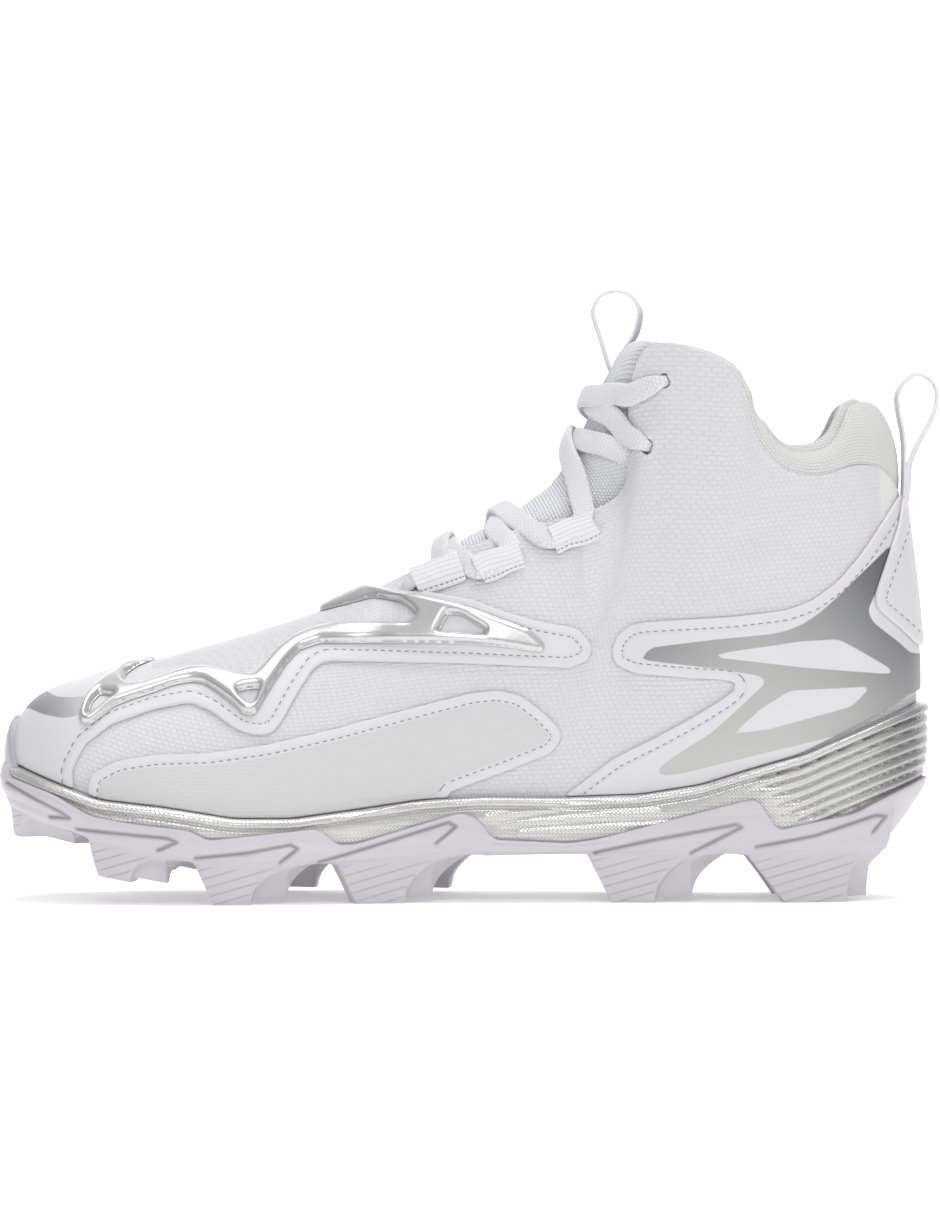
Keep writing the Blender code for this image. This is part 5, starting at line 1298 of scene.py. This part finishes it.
# the collar: a padded knit roll with two lobes and a seam between them, from flap to flap round the heel
collar = {
    "columns": ("row", "height", "thick", "lean"),
    "rows": ((0.0, 26.0, 10.0, 3.0), (1.0, 25.5, 10.0, 3.0), (2.0, 22.0, 10.0, 3.0), (3.0, 18.5, 9.5, 2.0),
             (3.5, 10.8, 9.0, 1.0), (4.0, 10.2, 8.5, 0.5), (5.0, 9.2, 8.0, 0.5), (6.0, 7.2, 7.4, 0.0),
             (7.0, 6.0, 6.6, 0.0), (7.5, 4.4, 6.2, 0.0), (8.0, 2.4, 5.8, 0.0), (9.0, 1.0, 5.0, 0.0),
             (10.0, 0.6, 4.2, 0.0), (10.6, 0.3, 3.4, 0.0)),
    # cross-sections (inward, up) of the low stretch beside the ankle and of the high heel
    "lowRoll": ((0.0, 0.0), (-0.13, 0.34), (-0.06, 0.58), (0.13, 0.73), (0.28, 0.76), (0.37, 0.66),
                (0.45, 0.80), (0.58, 0.97), (0.72, 1.0), (0.9, 0.84), (1.0, 0.5), (0.9, 0.02)),
    "heelRoll": ((0.0, 0.0), (-0.12, 0.4), (-0.06, 0.72), (0.1, 0.93), (0.27, 0.95), (0.38, 0.82),
                 (0.48, 0.92), (0.62, 1.0), (0.76, 0.97), (0.92, 0.8), (1.0, 0.5), (0.9, 0.02)),
    "sunk": 0.8, "inset": 1.1, "lanes": 260, "round": 84,
}
table = np.array(collar["rows"])
half = np.linspace(table[-1, 0], 0, collar["lanes"] // 2)
rows = np.concatenate([half, -half[::-1][1:]])
q = np.mod(rows, 2 * tip)
one = np.ones(len(q))
smooth = np.linspace(-0.25, 0.25, 7)
height, thick, lean = (
    np.mean([np.interp(np.abs(rows + w), table[:, 0], table[:, k]) for w in smooth], axis=0)
    for k in (1, 2, 3))
edge, out = surface(q, one), surfaceNormal(q, one)
level = unit(out * (1.0, 1.0, 0.0))
along = surface(q - 0.15, one) - surface(q + 0.15, one)
rise = np.cross(along, out)
rise = unit(rise * np.sign(np.sum(rise * (edge - surface(q, one * 0.9)), axis=1, keepdims=True)))
upright = np.clip((5.0 - np.abs(rows)) / 1.5, 0, 1)[:, None]
rise = unit(rise * (1 - upright) + np.array([0.0, 0.0, 1.0]) * upright)
sections = []
for roll in ("lowRoll", "heelRoll"):
    closed = np.array(collar[roll])
    closed = np.concatenate([closed[-1:], closed, closed[:2]])
    sections.append(spline(closed, 1 + np.linspace(0, len(collar[roll]), collar["round"], endpoint=False)))
high = ramp(height, 11, 20)[:, None, None]
ring = sections[0] * (1 - high) + sections[1] * high
cross, up = ring[..., 0], ring[..., 1]
inward = collar["inset"] + cross * thick[:, None] + lean[:, None] * np.clip(up, 0, None)**2
loops = (edge[:, None] + rise[:, None] * (up * (height + collar["sunk"])[:, None] - collar["sunk"])[..., None]
         - level[:, None] * inward[..., None])
lanes, count = loops.shape[:2]
runAlong, lap = lengthsAlong(edge), lengthsAlong(loops, 1)
weave = np.stack([np.broadcast_to(runAlong[:, None], lap.shape), lap], -1).reshape(-1, 2)
weave = np.concatenate([weave, weave[[0, -1]]])
points = np.concatenate([loops.reshape(-1, 3), loops[[0, -1]].mean(1)])
triangles = tubeTriangles(lanes, count)
piece = addPiece("knit_collar", points, triangles, "collar", "knit", finishes["knit"], uv=weave[triangles])
print("collar made")


# a strip swept along a path: across and lift are its axes, its section a rounded oblong of width by thick
def sweptStrip(path, across, lift, width, thick, sides=20, power=0.45):
    turn = np.linspace(0, 2 * np.pi, sides, endpoint=False)
    c, s = np.cos(turn), np.sin(turn)
    lanes = len(path)
    wide = np.sign(c) * np.abs(c)**power * np.broadcast_to(width, lanes)[:, None] / 2
    tall = np.sign(s) * np.abs(s)**0.8 * np.broadcast_to(thick, lanes)[:, None] / 2
    loops = path[:, None] + across[:, None] * wide[..., None] + lift[:, None] * tall[..., None]
    weave = np.stack(np.broadcast_arrays(wide, lengthsAlong(path)[:, None]), -1).reshape(-1, 2)
    points = np.concatenate([loops.reshape(-1, 3), path[[0, -1]]])
    return points, tubeTriangles(lanes, sides), np.concatenate([weave, weave[[0, -1]]])


# pull loops of webbing
for node, pull in (("heel_pull", heelPull), ("tongue_pull", tonguePull)):
    path, side = ribbonLine(pull["feet"][:1] + pull["line"] + pull["feet"][1:], pull["count"])
    path3 = np.stack([path[:, 0], np.zeros(len(path)), path[:, 1]], 1)
    lift3 = np.stack([side[:, 0], np.zeros(len(path)), side[:, 1]], 1)
    twist = np.array(pull["twist"])[:, None]
    sway = np.radians(spline(twist, np.linspace(0, len(twist) - 1, len(path))))
    level3 = np.tile((0.0, 1.0, 0.0), (len(path), 1))
    across3 = level3 * np.cos(sway) + lift3 * np.sin(sway)
    lift3 = lift3 * np.cos(sway) - level3 * np.sin(sway)
    points, triangles, weave = sweptStrip(path3, across3, lift3, pull["width"], pull["thick"], 24, 0.25)
    addPiece(node + "_tape", points, triangles, node, "webbing", finishes["tape"], uv=weave[triangles])
print("pulls made")


# side-view place on a webbing loop: along and down from -0.5 to 0.5, down being away from the throat
def loopPlace(number, along, down):
    lx, lz, _ = lacing["loops"][number]
    slope = math.radians(lacing["loopSlope"])
    px = lx + along * lacing["loopLength"] * math.cos(slope) + down * lacing["loopDown"][0]
    return px, lz + along * lacing["loopLength"] * math.sin(slope) + down * lacing["loopDown"][1]


# webbing loops that carry the lower lace, each a tape folded over it at the throat and sewn down below
loopGrid, loopDense = (4, 3), (34, 41)
heights = np.array(lacing["loopHeights"])[:, None]
loopDepth = math.hypot(*lacing["loopDown"])
u, w = np.meshgrid(*(np.linspace(-0.5, 0.5, count) for count in loopDense), indexing="ij")
height = spline(heights, (w + 0.5) * (len(heights) - 1))[..., 0]
sheet = gridTriangles(*loopDense)
for way, label in ((-1, "inner"), (1, "outer")):
    for number in range(len(lacing["loops"])):
        patch = [placeOnSide(*loopPlace(number, along, down), way)
                 for along in np.linspace(-0.5, 0.5, loopGrid[0])
                 for down in np.linspace(-0.5, 0.5, loopGrid[1])]
        places = np.array(patch).reshape(*loopGrid, 2)
        dense = np.swapaxes(spline(places, np.linspace(0, loopGrid[0] - 1, loopDense[0])), 0, 1)
        dense = np.swapaxes(spline(dense, np.linspace(0, loopGrid[1] - 1, loopDense[1])), 0, 1)
        base, out = surface(dense[..., 0], dense[..., 1]), surfaceNormal(dense[..., 0], dense[..., 1])
        flat = base + out * (height - lacing["tape"])[..., None]
        top = np.full(flat[..., 0].size, lacing["tape"])
        points, triangles, source, corners = shellMesh(
            flat.reshape(-1, 3), out.reshape(-1, 3), sheet, sheet, top, 0.0, overlays["rounding"])
        weave = np.stack([w.ravel() * loopDepth, u.ravel() * lacing["loopLength"] + 40.0], 1)
        seam = {"edge": ((0.5 - w) * loopDepth).ravel()[source],
                "run": ((u + 1) * lacing["loopLength"]).ravel()[source]}
        addPiece(f"lace_loop_tape_{label}_{number + 1}", points, triangles, f"lace_loop_{label}_{number + 1}",
                 "webbing", finishes["tape"], seam, uv=weave[corners])
print("webbing loops made")


# stops at one end of a run of lace, from its hidden end to the throat, each a point, its upward direction
# and the lace's share of its width: out of an eyelet, under the flap to an eyelet, or out of a loop's back
# or front end
def laceEnd(index, way, row, leaving, under):
    eyelets = len(lacing["eyelets"])
    edgeQ = row if way < 0 else 2 * tip - row
    edge, edgeOut = surface(edgeQ, 0.985), surfaceNormal(edgeQ, 0.985)
    half = lacing["thick"] / 2
    if index < eyelets:
        place = placeOnSide(*lacing["eyelets"][index][:2], way)
        point, out = surface(*place), surfaceNormal(*place)
        ahead = unit(edge - point)
        if under:
            sunk = wall + half + 0.2
            return [(point - out * sunk, out, 0.9), (edge - edgeOut * sunk, edgeOut, 1.0)]
        return [(point - out * 4.5, -ahead, 0.5), (point - out * 0.6, -ahead, 0.5),
                (point + out * 1.0 + ahead * 1.3, unit(out - ahead * 0.5), 0.6),
                (point + out * (half + 0.4) + ahead * 4.5, out, 0.88),
                (edge + edgeOut * (half + 0.3), edgeOut, 1.0)]
    spots = ((0.0, 0.0, 0.8), (0.36, -0.42, 0.9)) if leaving else ((-0.1, 0.0, 0.9), (-0.56, -0.05, 0.95))
    stops = []
    for along, down, width in spots:
        place = placeOnSide(*loopPlace(index - eyelets, along, down), way)
        stops.append((surface(*place) + surfaceNormal(*place) * (half + 0.25), surfaceNormal(*place), width))
    return stops


# a run of lace from one side's place to the other side's next one, over the tongue at the row of their
# crossing; the run on top humps over the other there, and the lowest bar joins the front ends of its two
# loops
def laceRun(low, high, lowSide, over):
    rows = [row for _, _, row in lacing["eyelets"] + lacing["loops"]]
    crossing = lacing["crossings"][min(low, high) if low != high else low]
    eyelets = len(lacing["eyelets"])
    lowRow = rows[low] + ((crossing - rows[low]) * lacing["slant"] if low < eyelets else 0.0)
    highRow = rows[high] + ((crossing - rows[high]) * lacing["slant"] if high < eyelets else lacing["lead"])
    lowRow = highRow if low == high else lowRow
    start = laceEnd(low, lowSide, lowRow, low != high, False)
    end = laceEnd(high, -lowSide, highRow, False, high == 1)
    middle = []
    for share in (-0.7, -0.45, -0.2, 0.0, 0.2, 0.45, 0.7):
        row = np.array(np.interp(share, (-1, 0, 1), (lowRow, crossing, highRow)))
        t, none = np.array(-lowSide * share), np.array(0.0)
        here = tonguePoint(row, t, none)
        ahead = tonguePoint(row - 0.1, t, none) - here
        left, right = np.maximum(t - 0.02, -1), np.minimum(t + 0.02, 1)
        out = unit(np.cross(ahead, tonguePoint(row, right, none) - tonguePoint(row, left, none)))
        hump = over * math.exp(-(share / 0.4)**2)
        middle.append((here + out * (lacing["thick"] / 2 + 0.3 + hump), out, 1.0))
    stops = start + middle + end[::-1]
    line = np.array([point for point, _, _ in stops])
    ups = np.array([up for _, up, _ in stops])
    travel = lengthsAlong(line)
    knots = np.interp(np.linspace(0, travel[-1], 90), travel, np.arange(len(line)))
    path, up = spline(line, knots), unit(spline(ups, knots))
    width = spline(np.array([[share] for _, _, share in stops]), knots)[:, 0]
    for _ in range(8):
        path[1:-1] = (path[:-2] + 2 * path[1:-1] + path[2:]) / 4
        up[1:-1] = unit(up[:-2] + 2 * up[1:-1] + up[2:])
    return path, up, width


parts, ids, weaves, total = [], [], [], 0
runs = [(step + 1, step, way, lacing["thick"] * 1.05 * ((way > 0) == (step % 2 == 0)))
        for step in range(4) for way in (-1, 1)] + [(4, 4, -1, 0.0)]
for low, high, way, over in runs:
    path, up, width = laceRun(low, high, way, over)
    along = unit(np.gradient(path, axis=0))
    across = unit(np.cross(along, up))
    points, triangles, weave = sweptStrip(path, across, np.cross(across, along), lacing["width"] * width,
                                          lacing["thick"] / width**0.4, 24, 0.55)
    parts.append(points)
    weaves.append(weave[triangles])
    ids.append(triangles + total)
    total += len(points)
addPiece("flat_lace", np.concatenate(parts), np.concatenate(ids), "lace", "lace", finishes["lace"],
         uv=np.concatenate(weaves))
print("lace made")

# white studio sweep, soft lights and the camera
studio = {
    "floorColour": "#fbfbfb", "floorGlow": 0.25,
    # camera place in mm, its lens and its sensor
    "cameraX": 1.44, "cameraHeight": 93.0, "distance": 1780.0, "lens": 164.4, "sensor": 36.0,
    # sweep in metres: half its width, its front edge, where it bends up and how round, and its top
    "half": 4.0, "front": -4.0, "bend": 1.6, "radius": 1.0, "top": 4.0,
    # sky colours from the horizon up, so that silver has something dark to mirror
    "skyLow": "#8b8b8e", "skyHigh": "#ffffff", "skyStrength": 0.46,
    # columns: name, place in metres, aim in metres, size in metres, power in watts
    "lights": (("key", (-0.1, -1.8, 1.2), (0.0, 0.0, 0.08), 1.0, 10.6),
               ("overhead", (0.1, 0.0, 1.8), (0.0, 0.0, 0.05), 1.3, 20.0),
               ("fill", (1.3, -1.4, 0.5), (0.0, 0.0, 0.08), 1.2, 3.0),
               ("backdrop", (0.0, 0.9, 1.3), (0.0, 2.6, 0.9), 1.2, 34.0)),
}
turn = np.linspace(0, math.pi / 2, 16)
rise = studio["radius"] * np.stack([np.sin(turn), 1 - np.cos(turn)], 1) + (studio["bend"], 0.0)
wallAt = studio["bend"] + studio["radius"]
sweepLine = np.concatenate([[(studio["front"], 0.0)], rise, [(wallAt, studio["top"])]])
edges = [np.column_stack([np.full(len(sweepLine), x), sweepLine]) for x in (-studio["half"], studio["half"])]
faces = [(2 * i, 2 * i + 1, 2 * i + 3, 2 * i + 2) for i in range(len(sweepLine) - 1)]
mesh = bpy.data.meshes.new("studio_sweep")
mesh.from_pydata(np.stack(edges, 1).reshape(-1, 3).tolist(), [], faces)
mesh.shade_smooth()
paper, _, _ = newFinish("white_paper_sweep", {
    "Roughness": 0.9, "Base Color": linear(studio["floorColour"]),
    "Emission Color": linear(studio["floorColour"]), "Emission Strength": studio["floorGlow"]})
mesh.materials.append(paper)
sweep = bpy.data.objects.new("studio_sweep", mesh)
bpy.context.scene.collection.objects.link(sweep)

world = bpy.data.worlds.new("soft_studio")
world.use_nodes = True
skyTree = world.node_tree
skyTree.nodes["Background"].inputs["Strength"].default_value = studio["skyStrength"]
skyPlace = addNode(skyTree, "TexCoord", {}, {}).outputs["Generated"]
skyAxes = addNode(skyTree, "SeparateXYZ", {}, {"Vector": skyPlace})
skyShade = addNode(skyTree, "ValToRGB", {}, {"Fac": skyAxes.outputs["Z"]})
skyShade.color_ramp.elements[0].color = linear(studio["skyLow"])
skyShade.color_ramp.elements[1].color = linear(studio["skyHigh"])
skyShade.color_ramp.elements[1].position = 0.6
skyTree.links.new(skyShade.outputs[0], skyTree.nodes["Background"].inputs["Color"])
bpy.context.scene.world = world
bpy.context.scene.view_settings.view_transform = "Standard"


# turns an object's -Z axis towards a point
def aimAt(thing, place, target):
    ahead = unit(np.array(target) - np.array(place))
    thing.location = place
    thing.rotation_euler = (math.acos(-ahead[2]), 0.0, math.atan2(ahead[1], ahead[0]) - math.pi / 2)


for name, place, target, size, power in studio["lights"]:
    lamp = bpy.data.lights.new(name, "AREA")
    lamp.shape, lamp.size, lamp.energy = "DISK", size, power
    holder = bpy.data.objects.new(name, lamp)
    aimAt(holder, place, target)
    bpy.context.scene.collection.objects.link(holder)

camera = bpy.data.objects.new("photo_camera", bpy.data.cameras.new("photo_camera"))
camera.data.lens, camera.data.sensor_width = studio["lens"], studio["sensor"]
camera.location = ((studio["cameraX"] + shift[0]) * mm, -studio["distance"] * mm, studio["cameraHeight"] * mm)
camera.rotation_euler = (math.pi / 2, 0.0, 0.0)
bpy.context.scene.collection.objects.link(camera)
bpy.context.scene.camera = camera
